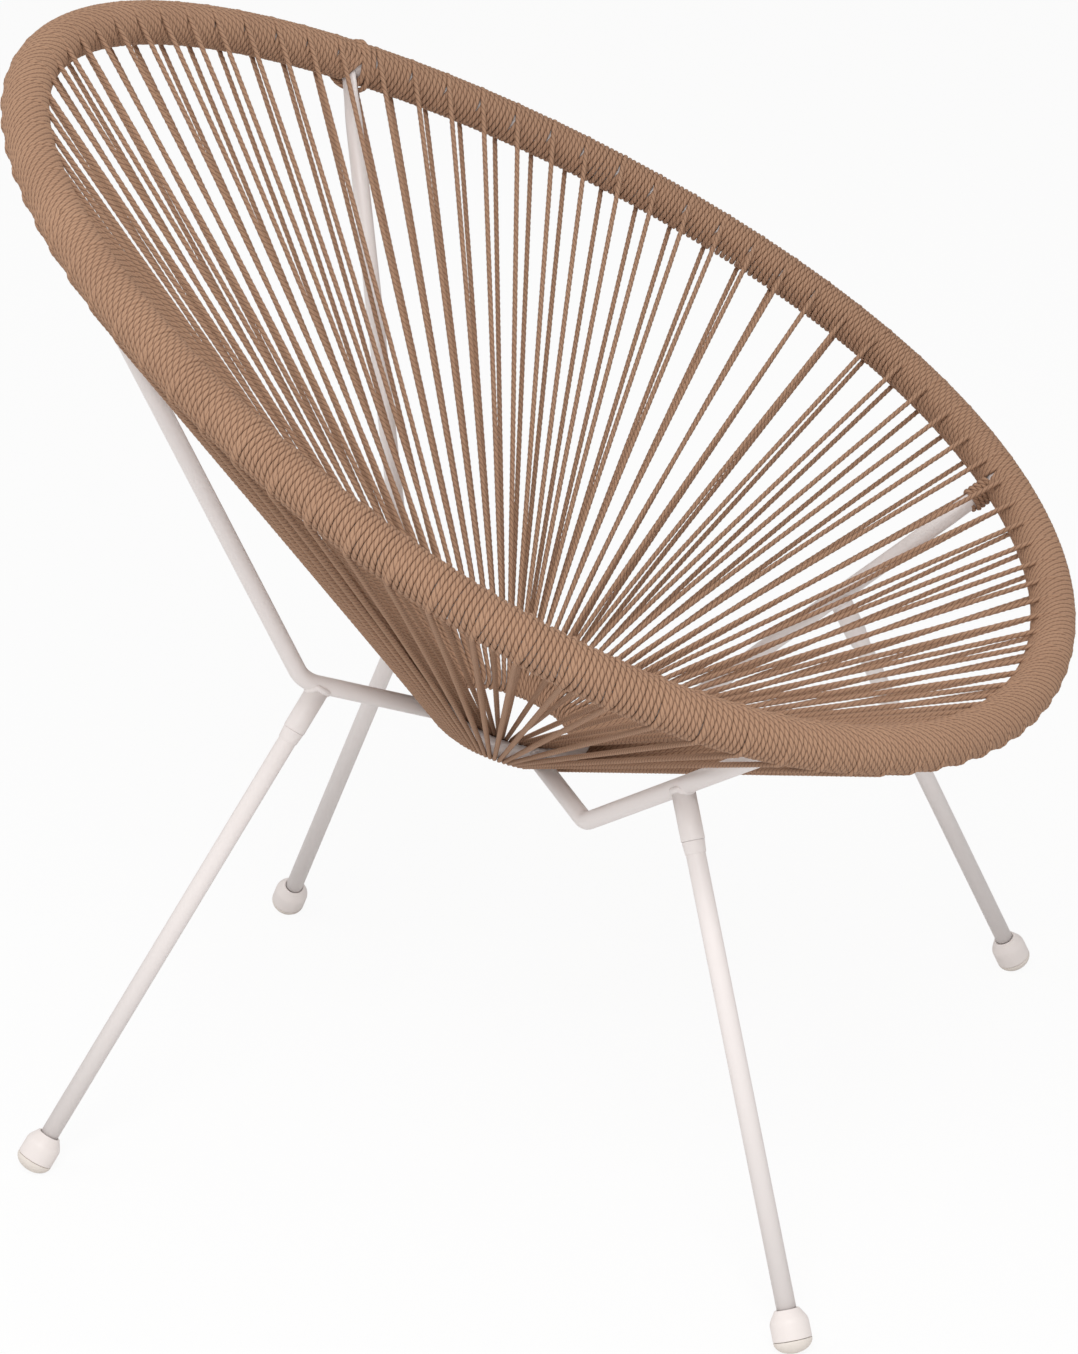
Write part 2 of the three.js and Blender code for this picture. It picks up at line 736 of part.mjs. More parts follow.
function addBinding(name, line) {
  const start = bindingStart(line);
  const along = squareTo(line.tangent, line.down);
  const across = cross(line.down, along);
  const place = (growth) => (distance, angle) => {
    const halves = armHalves(line, distance);
    return offset(
      line.rimEnd,
      [line.down, distance],
      [along, (halves.along + growth) * Math.cos(angle)],
      [across, (halves.across + growth) * Math.sin(angle)],
    );
  };
  const geometry = windingGeometry({
    start,
    length: BINDING_LENGTH,
    turns: BINDING_TURNS - 1,
    boreStations: [start, start + BINDING_LENGTH],
    crest: place(WINDING_CORD_DIAMETER),
    valley: place(WINDING_CORD_DIAMETER - RIDGE_DEPTH),
    bore: place(FIT_GAP),
  });
  addPiece(`arm_binding_${name}`, geometry, "rope");
}

// The web: loops of string from the rim round the hub ring and back

const STRING_AXIS_OFFSET = RIM_RADIUS + WINDING_CORD_DIAMETER / 2;
const STRING_START = Math.sqrt(
  (WINDING_RADIUS + STRING_RADIUS + FIT_GAP) ** 2 - STRING_AXIS_OFFSET ** 2,
);
const LOOP_OFFSET = HUB_BAR_RADIUS + STRING_RADIUS + FIT_GAP;

// The end of a string at the rim, on the sitter's side of it or on the back.
function stringEnd(distance, hubPoint, side) {
  const { point, tangent } = rimAt(distance);
  const inwards = towards(point, hubPoint);
  const face = cross(inwards, tangent);
  return offset(point, [face, side * STRING_AXIS_OFFSET], [inwards, STRING_START]);
}

// Strings cross the hub ring at a skew, which lengthens the loop that goes round it.
function loopSolid(loop) {
  const { point, tangent } = hubAt(loop.hubDegrees);
  const inwards = towards(rimAt((loop.front + loop.back) / 2).point, point);
  const face = cross(inwards, tangent);
  const skew = 1 / Math.sin(inwards.angleTo(tangent));
  const corner = (side) =>
    offset(point, [face, side * LOOP_OFFSET], [inwards, skew * LOOP_OFFSET]);
  const route = [
    stringEnd(loop.front, point, 1),
    corner(1),
    corner(-1),
    stringEnd(loop.back, point, -1),
  ];
  const rings = ringsAlong(route, cross(face, inwards), STRING_RADIUS, STRING_SIDES);
  return solidFrom(barGeometry(rings));
}

// The loops between two arms. Each leaves the rim in front and comes back a little before there.
function loopsBetween(from, to, count, firstShare) {
  let end = to.distance;
  if (end < from.distance) {
    end += rim.getLength();
  }
  const pitch = (end - from.distance) / count;
  const clear = ARM_RADIUS + STRING_RADIUS + STRING_ARM_CLEARANCE;
  const margin = THREE.MathUtils.radToDeg(Math.asin(clear / HUB_RADIUS));
  const hubStart = from.hubDegrees + margin;
  let hubSpan = to.hubDegrees - from.hubDegrees - 2 * margin;
  if (hubSpan < 0) {
    hubSpan += FULL_TURN_DEGREES;
  }
  const loops = [];
  for (let i = 0; i < count; i += 1) {
    const front = from.distance + (i + firstShare) * pitch;
    const back = front - BACK_STRING_LEAD;
    const hubDegrees = hubStart + (hubSpan * i) / (count - 1);
    loops.push({ front, back, hubDegrees });
  }
  return loops;
}

// Cuts off all that lies past the plane between two neighbouring loops, one way or the other
// round the hub, and half a fit gap before it.
function trimmed(solid, loop, next, way) {
  const { point: hubPoint, tangent } = hubAt((loop.hubDegrees + next.hubDegrees) / 2);
  const rimMiddle = rimAt((loop.front + next.back) / 2).point;
  const inwards = towards(rimMiddle, hubPoint);
  const face = cross(inwards, tangent);
  const onwards = cross(face, inwards);
  const side = RIM_WIDTH;
  const block = new THREE.BoxGeometry(side, side, side);
  block.applyMatrix4(new THREE.Matrix4().makeBasis(onwards, face, inwards));
  const centre = offset(hubPoint, [onwards, (way * (side - FIT_GAP)) / 2]);
  block.translate(centre.x, centre.y, centre.z);
  return solid.subtract(solidFrom(block));
}

function addWebSectors(name, loops) {
  for (let sector = 0; sector < SECTOR_COUNT; sector += 1) {
    const start = Math.round((loops.length * sector) / SECTOR_COUNT);
    const end = Math.round((loops.length * (sector + 1)) / SECTOR_COUNT);
    let solid = loopSolid(loops[start]);
    for (let i = start + 1; i < end; i += 1) {
      solid = solid.add(loopSolid(loops[i]));
    }
    if (start > 0) {
      solid = trimmed(solid, loops[start - 1], loops[start], -1);
    }
    if (end < loops.length) {
      solid = trimmed(solid, loops[end - 1], loops[end], 1);
    }
    addPiece(`web_${name}_${sector + 1}`, geometryFromSolid(solid), "rope");
  }
}

// The whole chair

addHoop();
addPiece("hub_ring", hubGeometry(HUB_BAR_RADIUS), "paint");

const hoopCut = solidFrom(barGeometry(hoopRings(RIM_RADIUS + FIT_GAP), true));
const hubCut = solidFrom(hubGeometry(HUB_BAR_RADIUS + FIT_GAP));
const lines = {};
for (const [name, arm] of Object.entries(ARMS)) {
  const line = armLine(arm);
  lines[name] = { ...line, hubDegrees: arm.side * arm.hubDegrees };
  addArm(name, line, hoopCut, hubCut);
  addBinding(name, line);
  const armCut = solidFrom(barGeometry(armRings(line, FIT_GAP)));
  const leg = legLine(LEGS[name], arm, line);
  const capTop = leg.length - CAP_SIDE - CAP_SHOULDER;
  addSocket(name, leg, armCut);
  addInsert(name, leg);
  addStud(name, leg);
  addLegTube(name, leg, capTop);
  addFootCap(name, leg, capTop, leg.length);
  addFootPad(name, leg, leg.length, floorCutAt(leg));
}

// Each span's first loop stands a share of a pitch past its arm.
const SPANS = [
  { name: "left", from: "rear_left", to: "front_left", count: SIDE_LOOP_COUNT },
  { name: "front", from: "front_left", to: "front_right", count: FRONT_LOOP_COUNT },
  { name: "right", from: "front_right", to: "rear_right", count: SIDE_LOOP_COUNT },
  { name: "back", from: "rear_right", to: "rear_left", count: BACK_LOOP_COUNT },
];
const FIRST_LOOP_SHARE = { left: 0.62, front: 0.62, right: 0.62, back: 0.49 };
for (const { name, from, to, count } of SPANS) {
  addRimWinding(name, lines[from], lines[to]);
  addWebSectors(name, loopsBetween(lines[from], lines[to], count, FIRST_LOOP_SHARE[name]));
}

export default chair;
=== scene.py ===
"""An acapulco chair: rope wound round an egg-shaped rim, strung to a small hub ring and back, on a
painted tube frame with four screwed legs. Lengths are metres, +Z is up and the sitter faces -Y."""

import math

import bpy
import numpy as np
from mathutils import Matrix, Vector


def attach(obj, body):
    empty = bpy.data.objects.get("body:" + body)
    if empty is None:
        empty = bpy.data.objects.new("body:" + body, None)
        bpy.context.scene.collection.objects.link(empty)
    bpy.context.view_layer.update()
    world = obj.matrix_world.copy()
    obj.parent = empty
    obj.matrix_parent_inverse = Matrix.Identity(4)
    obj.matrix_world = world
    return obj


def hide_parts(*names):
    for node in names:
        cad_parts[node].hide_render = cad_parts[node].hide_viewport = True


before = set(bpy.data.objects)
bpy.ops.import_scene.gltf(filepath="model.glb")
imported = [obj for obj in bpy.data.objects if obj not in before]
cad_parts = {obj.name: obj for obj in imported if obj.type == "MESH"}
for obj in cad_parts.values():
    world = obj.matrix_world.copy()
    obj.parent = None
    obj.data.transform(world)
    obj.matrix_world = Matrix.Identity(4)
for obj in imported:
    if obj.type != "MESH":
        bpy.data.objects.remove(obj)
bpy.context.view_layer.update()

TAU = 2 * math.pi

# Rim hoop
RIM_WIDTH = 0.726
RIM_LENGTH = 0.7624
RIM_HEIGHT = 0.5267
RIM_TILT = math.radians(29.54)
RIM_EGG_SHARE = -0.131
RIM_FLAT_SIDE_SHARE = 0.008
RIM_TUBE_RADIUS = 0.011

# Hub ring
HUB_RADIUS = 0.0515
HUB_BAR_RADIUS = 0.006
HUB_HEIGHT = 0.2732
HUB_SET_BACK = 0.0253
HUB_TILT = math.radians(19.55)

# Rope
ROPE_RADIUS = 0.00188
WOUND_ROPE_RADIUS = 0.00198
STRANDS = 3
LAY_LENGTH = 0.014
GROOVE_DEPTH_SHARE = 0.13
SPLICE_LENGTH = 0.004
SPLICE_DEPTH_SHARE = 0.16

# Strings: where they leave the rim, and how they lie on the hub ring
BACK_STRING_LEAD = 0.0049
STATION_WANDER = 0.0007
START_LIFT = 0.0016
END_LIFT = 0.0011
HUB_GRIP_SHARE = 0.95
HUB_SPREAD = 0.0054
HUB_SPREAD_LOOPS = 6
HUB_SPREAD_POWER = 1.5
HUB_UNDER_SHARE = 0.8
SQUEEZE_SHARE = 0.54
SQUEEZE_REACH = 0.12

# Winding: its shares are shares of the pitch from pass to pass, or of a turn round the rim
WRAP_RADIUS = 0.0131
PASSES_PER_LOOP = 8
WRAP_WANDER = 0.00012
OUTER_LEAD_SHARE = 0.75
INNER_LEAD_SHARE = 1.25
DRAWN_LEAST_SHARE = 0.85
DRAWN_MOST_SHARE = 1.3
DRAWN_FRONT_SHARE = 0.3
DRAWN_BACK_SHARE = 0.47
DRAWN_EASE_SHARE = 0.24
PARTED_FIRST_SHARE = 0.4
PARTED_LAST_SHARE = 0.5
PARTING_SHARE = 0.19
PARTING_EASE_SHARE = 0.08
START_LIFT_SHARE = 2 / 7
END_LIFT_SHARE = 0.25
QUARTER_TURN_SHARE = 0.25

# Bindings: their shares are shares of the rope's radius
BINDING_TURNS = 5
BINDING_END_TURNS = 0.35
BINDING_TUCK_SHARE = 1.4
BINDING_PITCH_SHARE = 1.92
BINDING_LIFT_SHARE = 0.85
BINDING_END_DROP_SHARE = 1.5
SADDLE_ROPES = 2
SADDLE_BESIDE_SHARE = 1.1
SADDLE_BESIDE_STEP_SHARE = 2
SADDLE_OVER_SHARE = 0.3
SADDLE_LOW_SHARE = 2.6
SADDLE_LOW_STEP_SHARE = 1.9
# The saddle's corners: each gives a share of its place beside the arm, then, towards the sitter,
# shares of its reaches over the rim and behind the arm, then, down the arm, shares of its reaches
# over the rim and below it.
SADDLE_CORNER_SHARES = (
    (0.9, -0.3, 0, -0.95, 0),
    (0.95, 0.62, 0, -0.8, 0),
    (1, 1, 0, -0.1, 0),
    (1, 0.86, 0, 0.62, 0),
    (1, 0.4, 0, 0, 0.92),
    (0.75, 0, -0.35, 0, 0.97),
    (0, 0, -1, 0, 0.76),
    (-0.6, 0, -1.1, 0, 0.55),
    (-0.9, -1, 0, 0.1, 0),
    (-1, -0.75, 0, -0.62, 0),
    (-0.9, 0.1, 0, -0.98, 0),
)

# Frame arms
ARM_RADIUS = 0.006
REAR_BEND_RADIUS = 0.024
FRONT_BEND_RADIUS = 0.019
ARM_FLAT_THICKNESS = 0.007
ARM_FLAT_WIDTH = 0.015
ARM_TAPER_LENGTH = 0.03
ARM_GAP_CLEARANCE = 0.0008
REAR_BEND = (0.0967, 0.136, 0.3194)
FRONT_BEND = (0.1125, -0.065, 0.252)

# Legs
REAR_SOCKET_FROM_BEND = 0.013
FRONT_SOCKET_FROM_BEND = 0.1307
SOCKET_RADIUS = 0.0076
SOCKET_WALL = 0.0016
SOCKET_REACH = 0.0345
SOCKET_EAR = 0.003
SOCKET_MOUTH_DEPTH = 0.002
SOCKET_RIM_ROUNDING = 0.00025
SOCKET_MOUTH_ROUNDING = 0.0004
PART_GAP = 0.0003
SEAM_GAP = 0.00008
COLLAR_TOP_RADIUS = 0.0073
COLLAR_FOOT_RADIUS = 0.00665
COLLAR_LENGTH = 0.0083
COLLAR_TOP_ROUNDING = 0.0007
COLLAR_FOOT_ROUNDING = 0.0003
STUD_RADIUS = 0.004
STUD_LENGTH = 0.015
STUD_TIP_SHARE = 0.7
STUD_TIP_LENGTH = 0.0012
STUD_ROUNDING = 0.0004
SPIGOT_LENGTH = 0.016
LEG_RADIUS = 0.0062
LEG_WALL = 0.0015
LEG_ROUNDING = 0.0001
REAR_FOOT = (0.2278, 0.2822)
FRONT_FOOT = (0.3018, -0.2616)

# Feet
CAP_RADIUS = 0.01225
CAP_MOUTH_RADIUS = 0.0078
CAP_SHOULDER = 0.007
CAP_SIDE = 0.012
CAP_GRIP = 0.012
CAP_LIP_DEPTH = 0.003
CAP_LIP_ROUNDING = 0.0004
CAP_MOUTH_ROUNDING = 0.0005
CAP_SHOULDER_ROUNDING = 0.0022
CAP_SEAM_ROUNDING = 0.0008
CAP_FLOOR_SHARE = 0.8
PAD_DOME = 0.0085
PAD_FLAT_DEPTH = 0.0012
PAD_TIP_ANGLE = 0.02

# Welds
WELD_RADIUS = 0.0022
WELD_DEPTH = 0.001
WELD_SEARCH = 0.025
WELD_RIPPLES = 26.0
WELD_RIPPLE_SHARE = 0.035
WELD_GRAIN_SCALE = 260.0
WELD_GRAIN_SHARE = 3

# Colours as red, green and blue
PAINT_COLOR = (227, 220, 218)
PAINT_DARK = (224, 217, 215)
PAINT_LIGHT = (229, 222, 220)
ROPE_COLOR = (160, 124, 99)
ROPE_DARK = (158, 122, 98)
ROPE_LIGHT = (175, 138, 112)
ROPE_WORN = (192, 157, 131)
# Painted shade for the rope's grooves between strands and along its yarn lines
ROPE_GROOVE_SHADE = (74, 48, 34)
ZINC_COLOR = (185, 188, 192)
CAP_COLOR = (226, 218, 215)
PAD_COLOR = (220, 212, 205)
PAD_CLEAN = (224, 216, 209)
PAD_SCUFFED = (210, 201, 192)
FLOOR_COLOR = (238, 238, 238)
WHITE = (1, 1, 1, 1)

# Rope pattern: how sharp, how dark and how high its grooves, yarns and fibres are
# The darkness of the grooves and yarns is painted shade
YARNS_PER_STRAND = 2
YARN_SHARPNESS = 3
GROOVE_SHARPNESS = 2.6
GROOVE_SHADE_SHARE = 0.42
YARN_SHADE_SHARE = 0.24
FIBRE_SHADE_SHARE = 0.35
STRAND_RELIEF_SHARE = 0.8
YARN_RELIEF_SHARE = 0.3
FIBRE_RELIEF_SHARE = 0.25

# Floor and light
FLOOR_HALF_WIDTH = 6.0
FLOOR_GLOW_SHARE = 0.9
ROOM_COLOR = (1.0, 0.99, 0.975, 1)
ROOM_STRENGTH = 0.68
LAMP_TARGET = (0, 0, 0.4)
KEY_PLACE = (-2.2, -0.6, 2.3)
KEY_SIZE = 1.4
KEY_POWER = 50
FILL_PLACE = (-0.6, 2.4, 1.8)
FILL_SIZE = 2.0
FILL_POWER = 10

# Camera
PHOTO_HEIGHT_PIXELS = 1354
CAMERA_FOCAL_PIXELS = 4405.9
CAMERA_PLACE = (-2.6164, -0.8788, 1.3411)
CAMERA_YAW = 0.32567
CAMERA_PITCH = -0.35940
CAMERA_CLIP_END = 40

# Facets and steps
RIM_SAMPLES = 1440
HOOP_STEPS = 360
HOOP_SIDES = 24
HUB_STEP_DEGREES = 3
TUBE_SIDES = 28
TURNED_SIDES = 56
ROUNDING_STEPS = 5
ROPE_RING_SPACING = 0.0014
STRAND_SPREAD = math.radians(48)
WINDING_STRAND_POINTS = 3
STRING_STRAND_POINTS = 2
WRAP_STEPS = 48
EASING_STEPS = WRAP_STEPS // 6
LOOP_STEPS = 11
STRING_STEPS = 60
SPLICE_STEPS = 6
SADDLE_STEPS = 10
TAPER_STEPS = 10
BEND_STEPS = 14
WELD_STEPS = 72
WELD_SIDES = 12
WELD_HALVINGS = 24
PAD_RINGS = 20
LEG_TRIES = 4
SEEDS_PER_SPAN = 10

# Numbers of the node sockets whose names aren't theirs alone
RANDOM_MOST = 3
RANDOM_NUMBER = 1
MIX_FIRST_COLOR = 6
MIX_SECOND_COLOR = 7
MIX_COLOR = 2

# Where each arm stands: its side, its place round the rim and round the hub, and its bend
ARMS = {
    "rear_left": (1, 46.5, 45.6, REAR_BEND),
    "front_left": (1, 138.1, 130.0, FRONT_BEND),
    "front_right": (-1, 221.9, 230.0, FRONT_BEND),
    "rear_right": (-1, 313.5, 314.4, REAR_BEND),
}
# Each span of rope: its two arms, where its first loop stands as a share of a pitch, and its loops
SPANS = {
    "left": ("rear_left", "front_left", 0.62, (4, 4, 5, 4, 4)),
    "front": ("front_left", "front_right", 0.62, (4, 5, 4, 5, 4)),
    "right": ("front_right", "rear_right", 0.62, (4, 4, 5, 4, 4)),
    "back": ("rear_right", "rear_left", 0.49, (4, 4, 4, 4, 4)),
}
chance = np.random.default_rng(7)


# Vectors


def unit(vector):
    vector = np.asarray(vector, float)
    return vector / np.linalg.norm(vector, axis=-1, keepdims=True)


def cross(first, second):
    return unit(np.cross(first, second))


def square_to(vector, direction):
    return unit(np.asarray(vector) - np.dot(vector, direction) * np.asarray(direction))


def turned(vector, axis, angle):
    across = np.cross(axis, vector)
    return vector * math.cos(angle) + across * math.sin(angle)


def smooth_step(share):
    share = np.clip(share, 0, 1)
    return share * share * (3 - 2 * share)


# The rim and the hub ring as curves

RIM_NORMAL = np.array([0, -math.sin(RIM_TILT), math.cos(RIM_TILT)])


def rim_point(angle):
    egg = RIM_EGG_SHARE * np.cos(angle) + RIM_FLAT_SIDE_SHARE * np.cos(2 * angle)
    across = RIM_WIDTH / 2 * np.sin(angle) * (1 + egg)
    along = RIM_LENGTH / 2 * np.cos(angle)
    back = along * math.cos(RIM_TILT)
    height = RIM_HEIGHT + along * math.sin(RIM_TILT)
    return np.stack([across, back, height], axis=-1)


RIM_ANGLES = np.linspace(0, TAU, RIM_SAMPLES + 1)
RIM_STEPS = np.linalg.norm(np.diff(rim_point(RIM_ANGLES), axis=0), axis=1)
RIM_DISTANCES = np.concatenate([[0], np.cumsum(RIM_STEPS)])
RIM_GIRTH = RIM_DISTANCES[-1]


def rim_distance(degrees):
    return float(np.interp(math.radians(degrees), RIM_ANGLES, RIM_DISTANCES))


def rim_at(distance):
    """The rim's middle, its direction and its outward side, so far round it."""
    angle = np.interp(np.mod(distance, RIM_GIRTH), RIM_DISTANCES, RIM_ANGLES)
    nudge = TAU / RIM_SAMPLES
    tangent = unit(rim_point(angle + nudge) - rim_point(angle - nudge))
    return rim_point(angle), tangent, cross(RIM_NORMAL, tangent)


def round_rim(distance, angle, radius):
    """A point on a tube round the rim, at an angle from its outer side towards the sitter."""
    point, _, outwards = rim_at(distance)
    reach = np.asarray(radius)[..., None] if np.ndim(radius) else radius
    cosine = np.cos(angle)[..., None]
    sine = np.sin(angle)[..., None]
    return point + reach * (cosine * outwards + sine * RIM_NORMAL)


def hub_at(degrees):
    angle = math.radians(degrees)
    tilt = np.array([math.cos(HUB_TILT), math.sin(HUB_TILT)])
    back, up = HUB_RADIUS * math.cos(angle) * tilt
    point = np.array([HUB_RADIUS * math.sin(angle), HUB_SET_BACK + back, HUB_HEIGHT + up])
    tangent = np.array([math.cos(angle), *(-math.sin(angle) * tilt)])
    return point, tangent


def from_hub_ring(points):
    """How far points are from the middle of the hub ring's bar."""
    normal = np.array([0, -math.sin(HUB_TILT), math.cos(HUB_TILT)])
    away = points - np.array([0, HUB_SET_BACK, HUB_HEIGHT])
    height = away @ normal
    flat = np.linalg.norm(away - height[:, None] * normal, axis=1)
    return np.hypot(height, flat - HUB_RADIUS)


# Node trees


class Wire:
    """A socket that can be reckoned with: a sum of wires is a wire from a new node."""

    def __init__(self, tree, socket):
        self.tree = tree
        self.socket = socket

    def reckon(self, operation, *terms):
        is_vector = any(
            isinstance(term, Wire) and term.socket.type == "VECTOR" for term in terms
        )
        kind = "ShaderNodeVectorMath" if is_vector else "ShaderNodeMath"
        node = self.tree.nodes.new(kind)
        node.operation = operation
        for socket, term in zip(node.inputs, terms):
            if isinstance(term, Wire):
                self.tree.links.new(term.socket, socket)
            elif is_vector and not hasattr(term, "__len__"):
                socket.default_value = (term, term, term)
            else:
                socket.default_value = term
        return Wire(self.tree, node.outputs[0])

    def __add__(self, other):
        return self.reckon("ADD", self, other)

    def __radd__(self, other):
        return self.reckon("ADD", other, self)

    def __sub__(self, other):
        return self.reckon("SUBTRACT", self, other)

    def __rsub__(self, other):
        return self.reckon("SUBTRACT", other, self)

    def __mul__(self, other):
        return self.reckon("MULTIPLY", self, other)

    def __rmul__(self, other):
        return self.reckon("MULTIPLY", other, self)

    def __truediv__(self, other):
        return self.reckon("DIVIDE", self, other)

    def __rtruediv__(self, other):
        return self.reckon("DIVIDE", other, self)

    def power(self, exponent):
        return self.reckon("POWER", self, exponent)

    def cosine(self):
        return self.reckon("COSINE", self)

    def sine(self):
        return self.reckon("SINE", self)

    def floor(self):
        return self.reckon("FLOOR", self)

    def is_above(self, level):
        return self.reckon("GREATER_THAN", self, level)

    def turn_of(self, other):
        """The angle whose sine is this wire and whose cosine is the other."""
        return self.reckon("ARCTAN2", self, other)


class Board:
    """A node tree under construction."""

    def __init__(self, tree):
        self.tree = tree

    def node(self, kind, settings=None, **inputs):
        node = self.tree.nodes.new(kind)
        for name, value in (settings or {}).items():
            setattr(node, name, value)
        for name, value in inputs.items():
            self.feed(node.inputs[name.replace("_", " ")], value)
        return node

    def feed(self, socket, value):
        if isinstance(value, Wire):
            self.tree.links.new(value.socket, socket)
        else:
            socket.default_value = value

    def wire(self, node, output=0):
        return Wire(self.tree, node.outputs[output])


class Grower(Board):
    """A geometry node tree that makes one kind of piece from a guide line."""

    def __init__(self, name):
        super().__init__(bpy.data.node_groups.new(name, "GeometryNodeTree"))
        self.tree.is_modifier = True
        face = self.tree.interface
        face.new_socket("Geometry", in_out="INPUT", socket_type="NodeSocketGeometry")
        face.new_socket("Geometry", in_out="OUTPUT", socket_type="NodeSocketGeometry")
        self.entry = self.tree.nodes.new("NodeGroupInput")
        self.exit = self.tree.nodes.new("NodeGroupOutput")

    def size(self, name, kind="Float"):
        socket_type = f"NodeSocket{kind}"
        self.tree.interface.new_socket(name, in_out="INPUT", socket_type=socket_type)
        return self.wire(self.entry, name)

    def finish(self, geometry, material):
        whole = self.wire(self.node("GeometryNodeRealizeInstances", Geometry=geometry))
        smooth = self.wire(self.node("GeometryNodeSetShadeSmooth", Geometry=whole))
        dressed = self.node("GeometryNodeSetMaterial", Geometry=smooth, Material=material)
        self.feed(self.exit.inputs["Geometry"], self.wire(dressed))


def sweep(board, curve, profile):
    """A tube along a curve, as wide as the curve's radius at each point."""
    inputs = {"Curve": curve, "Profile Curve": profile, "Fill Caps": True}
    node = board.node("GeometryNodeCurveToMesh")
    for name, value in inputs.items():
        board.feed(node.inputs[name], value)
    if "Scale" in node.inputs:
        radius = board.wire(board.node("GeometryNodeInputRadius"))
        board.feed(node.inputs["Scale"], radius)
    return board.wire(node)


def rope_grower():
    """Laid rope along a line: three strands turn round it, once in each lay length. Each point
    keeps where it is round the rope and along it, for the rope's pattern."""
    board = Grower("laid_rope")
    points = board.size("Points on a Strand", "Int")
    groove = board.size("Groove Depth")
    lay = board.size("Lay Length")
    spacing = board.size("Ring Spacing")
    seed = board.size("Seed", "Int")
    material = board.size("Material", "Material")
    line = board.wire(board.node("GeometryNodeMeshToCurve", Mesh=board.wire(board.entry)))
    resample = board.node("GeometryNodeResampleCurve", {"mode": "LENGTH"}, Curve=line)
    board.feed(resample.inputs["Length"], spacing)
    thickness = board.node("GeometryNodeInputNamedAttribute", {"data_type": "FLOAT"})
    thickness.inputs["Name"].default_value = "thickness"
    thick = board.node("GeometryNodeSetCurveRadius", Curve=board.wire(resample))
    board.feed(thick.inputs["Radius"], board.wire(thickness))
    length = board.wire(board.node("GeometryNodeSplineParameter"), "Length")
    which = board.node("GeometryNodeInputNamedAttribute", {"data_type": "INT"})
    which.inputs["Name"].default_value = "cord"
    start = board.node("FunctionNodeRandomValue", {"data_type": "FLOAT"}, Seed=seed)
    board.feed(start.inputs[RANDOM_MOST], TAU)
    board.feed(start.inputs["ID"], board.wire(which))
    tilt = board.node("GeometryNodeSetCurveTilt", Curve=board.wire(thick))
    board.feed(tilt.inputs["Tilt"], board.wire(start, RANDOM_NUMBER) - length * TAU / lay)
    kept = board.node("GeometryNodeCaptureAttribute", Geometry=board.wire(tilt))
    kept.capture_items.new("FLOAT", "Length")
    board.feed(kept.inputs["Length"], length)
    corners = points * STRANDS
    circle = board.node("GeometryNodeCurvePrimitiveCircle", Resolution=corners, Radius=1.0)
    index = board.wire(board.node("GeometryNodeInputIndex"))
    strand = (index / points).floor()
    place = index - strand * points
    is_groove = place.is_above(points - 1.5)
    shoulder = (place - (points - 2) / 2) * STRAND_SPREAD
    angle = strand * (TAU / STRANDS)
    angle += shoulder * (1 - is_groove) + is_groove * (TAU / STRANDS / 2)
    reach = 1 - groove * is_groove
    corner = board.node("ShaderNodeCombineXYZ")
    board.feed(corner.inputs["X"], angle.cosine() * reach)
    board.feed(corner.inputs["Y"], angle.sine() * reach)
    lobes = board.node("GeometryNodeSetPosition", Geometry=board.wire(circle))
    board.feed(lobes.inputs["Position"], board.wire(corner))
    rounded = board.node("GeometryNodeCaptureAttribute", Geometry=board.wire(lobes))
    rounded.capture_items.new("FLOAT", "Angle")
    board.feed(rounded.inputs["Angle"], angle)
    tube = sweep(board, board.wire(kept), board.wire(rounded))
    around = board.wire(rounded, "Angle")
    vector = board.node("ShaderNodeCombineXYZ")
    board.feed(vector.inputs["X"], around.cosine())
    board.feed(vector.inputs["Y"], around.sine())
    board.feed(vector.inputs["Z"], board.wire(kept, "Length"))
    store = board.node(
        "GeometryNodeStoreNamedAttribute", {"data_type": "FLOAT_VECTOR"}, Geometry=tube
    )
    store.inputs["Name"].default_value = "lay"
    board.feed(store.inputs["Value"], board.wire(vector))
    board.finish(board.wire(store), material)
    return board.tree


def tube_grower():
    """A round tube along a line."""
    board = Grower("bent_tube")
    sides = board.size("Sides", "Int")
    radius = board.size("Radius")
    material = board.size("Material", "Material")
    line = board.wire(board.node("GeometryNodeMeshToCurve", Mesh=board.wire(board.entry)))
    thick = board.node("GeometryNodeSetCurveRadius", Curve=line, Radius=1.0)
    circle = board.node("GeometryNodeCurvePrimitiveCircle", Resolution=sides, Radius=radius)
    board.finish(sweep(board, board.wire(thick), board.wire(circle)), material)
    return board.tree


def weld_grower():
    """A weld bead along a closed line, rippled as the torch moved."""
    board = Grower("weld_bead")
    radius = board.size("Radius")
    ripples = board.size("Ripples")
    depth = board.size("Ripple Depth")
    seed = board.size("Seed")
    material = board.size("Material", "Material")
    line = board.wire(board.node("GeometryNodeMeshToCurve", Mesh=board.wire(board.entry)))
    share = board.wire(board.node("GeometryNodeSplineParameter"), "Factor")
    place = board.wire(board.node("GeometryNodeInputPosition"))
    noise = board.node("ShaderNodeTexNoise", {"noise_dimensions": "4D"})
    noise.inputs["Scale"].default_value = WELD_GRAIN_SCALE
    board.feed(noise.inputs["Vector"], place)
    board.feed(noise.inputs["W"], seed)
    grain = (board.wire(noise) - 0.5) * WELD_GRAIN_SHARE
    wave = (share * ripples * TAU).sine() + grain
    thick = board.node("GeometryNodeSetCurveRadius", Curve=line)
    board.feed(thick.inputs["Radius"], 1 + wave * depth)
    circle = board.node("GeometryNodeCurvePrimitiveCircle", Radius=radius)
    circle.inputs["Resolution"].default_value = WELD_SIDES
    board.finish(sweep(board, board.wire(thick), board.wire(circle)), material)
    return board.tree


# Pieces


def link(obj):
    bpy.context.scene.collection.objects.link(obj)
    return obj


def settle(obj, slot, *nodes):
    """The piece rides on the chair's one body, and these CAD nodes are hidden in its place."""
    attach(obj, "root")
    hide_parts(*nodes)
    return obj


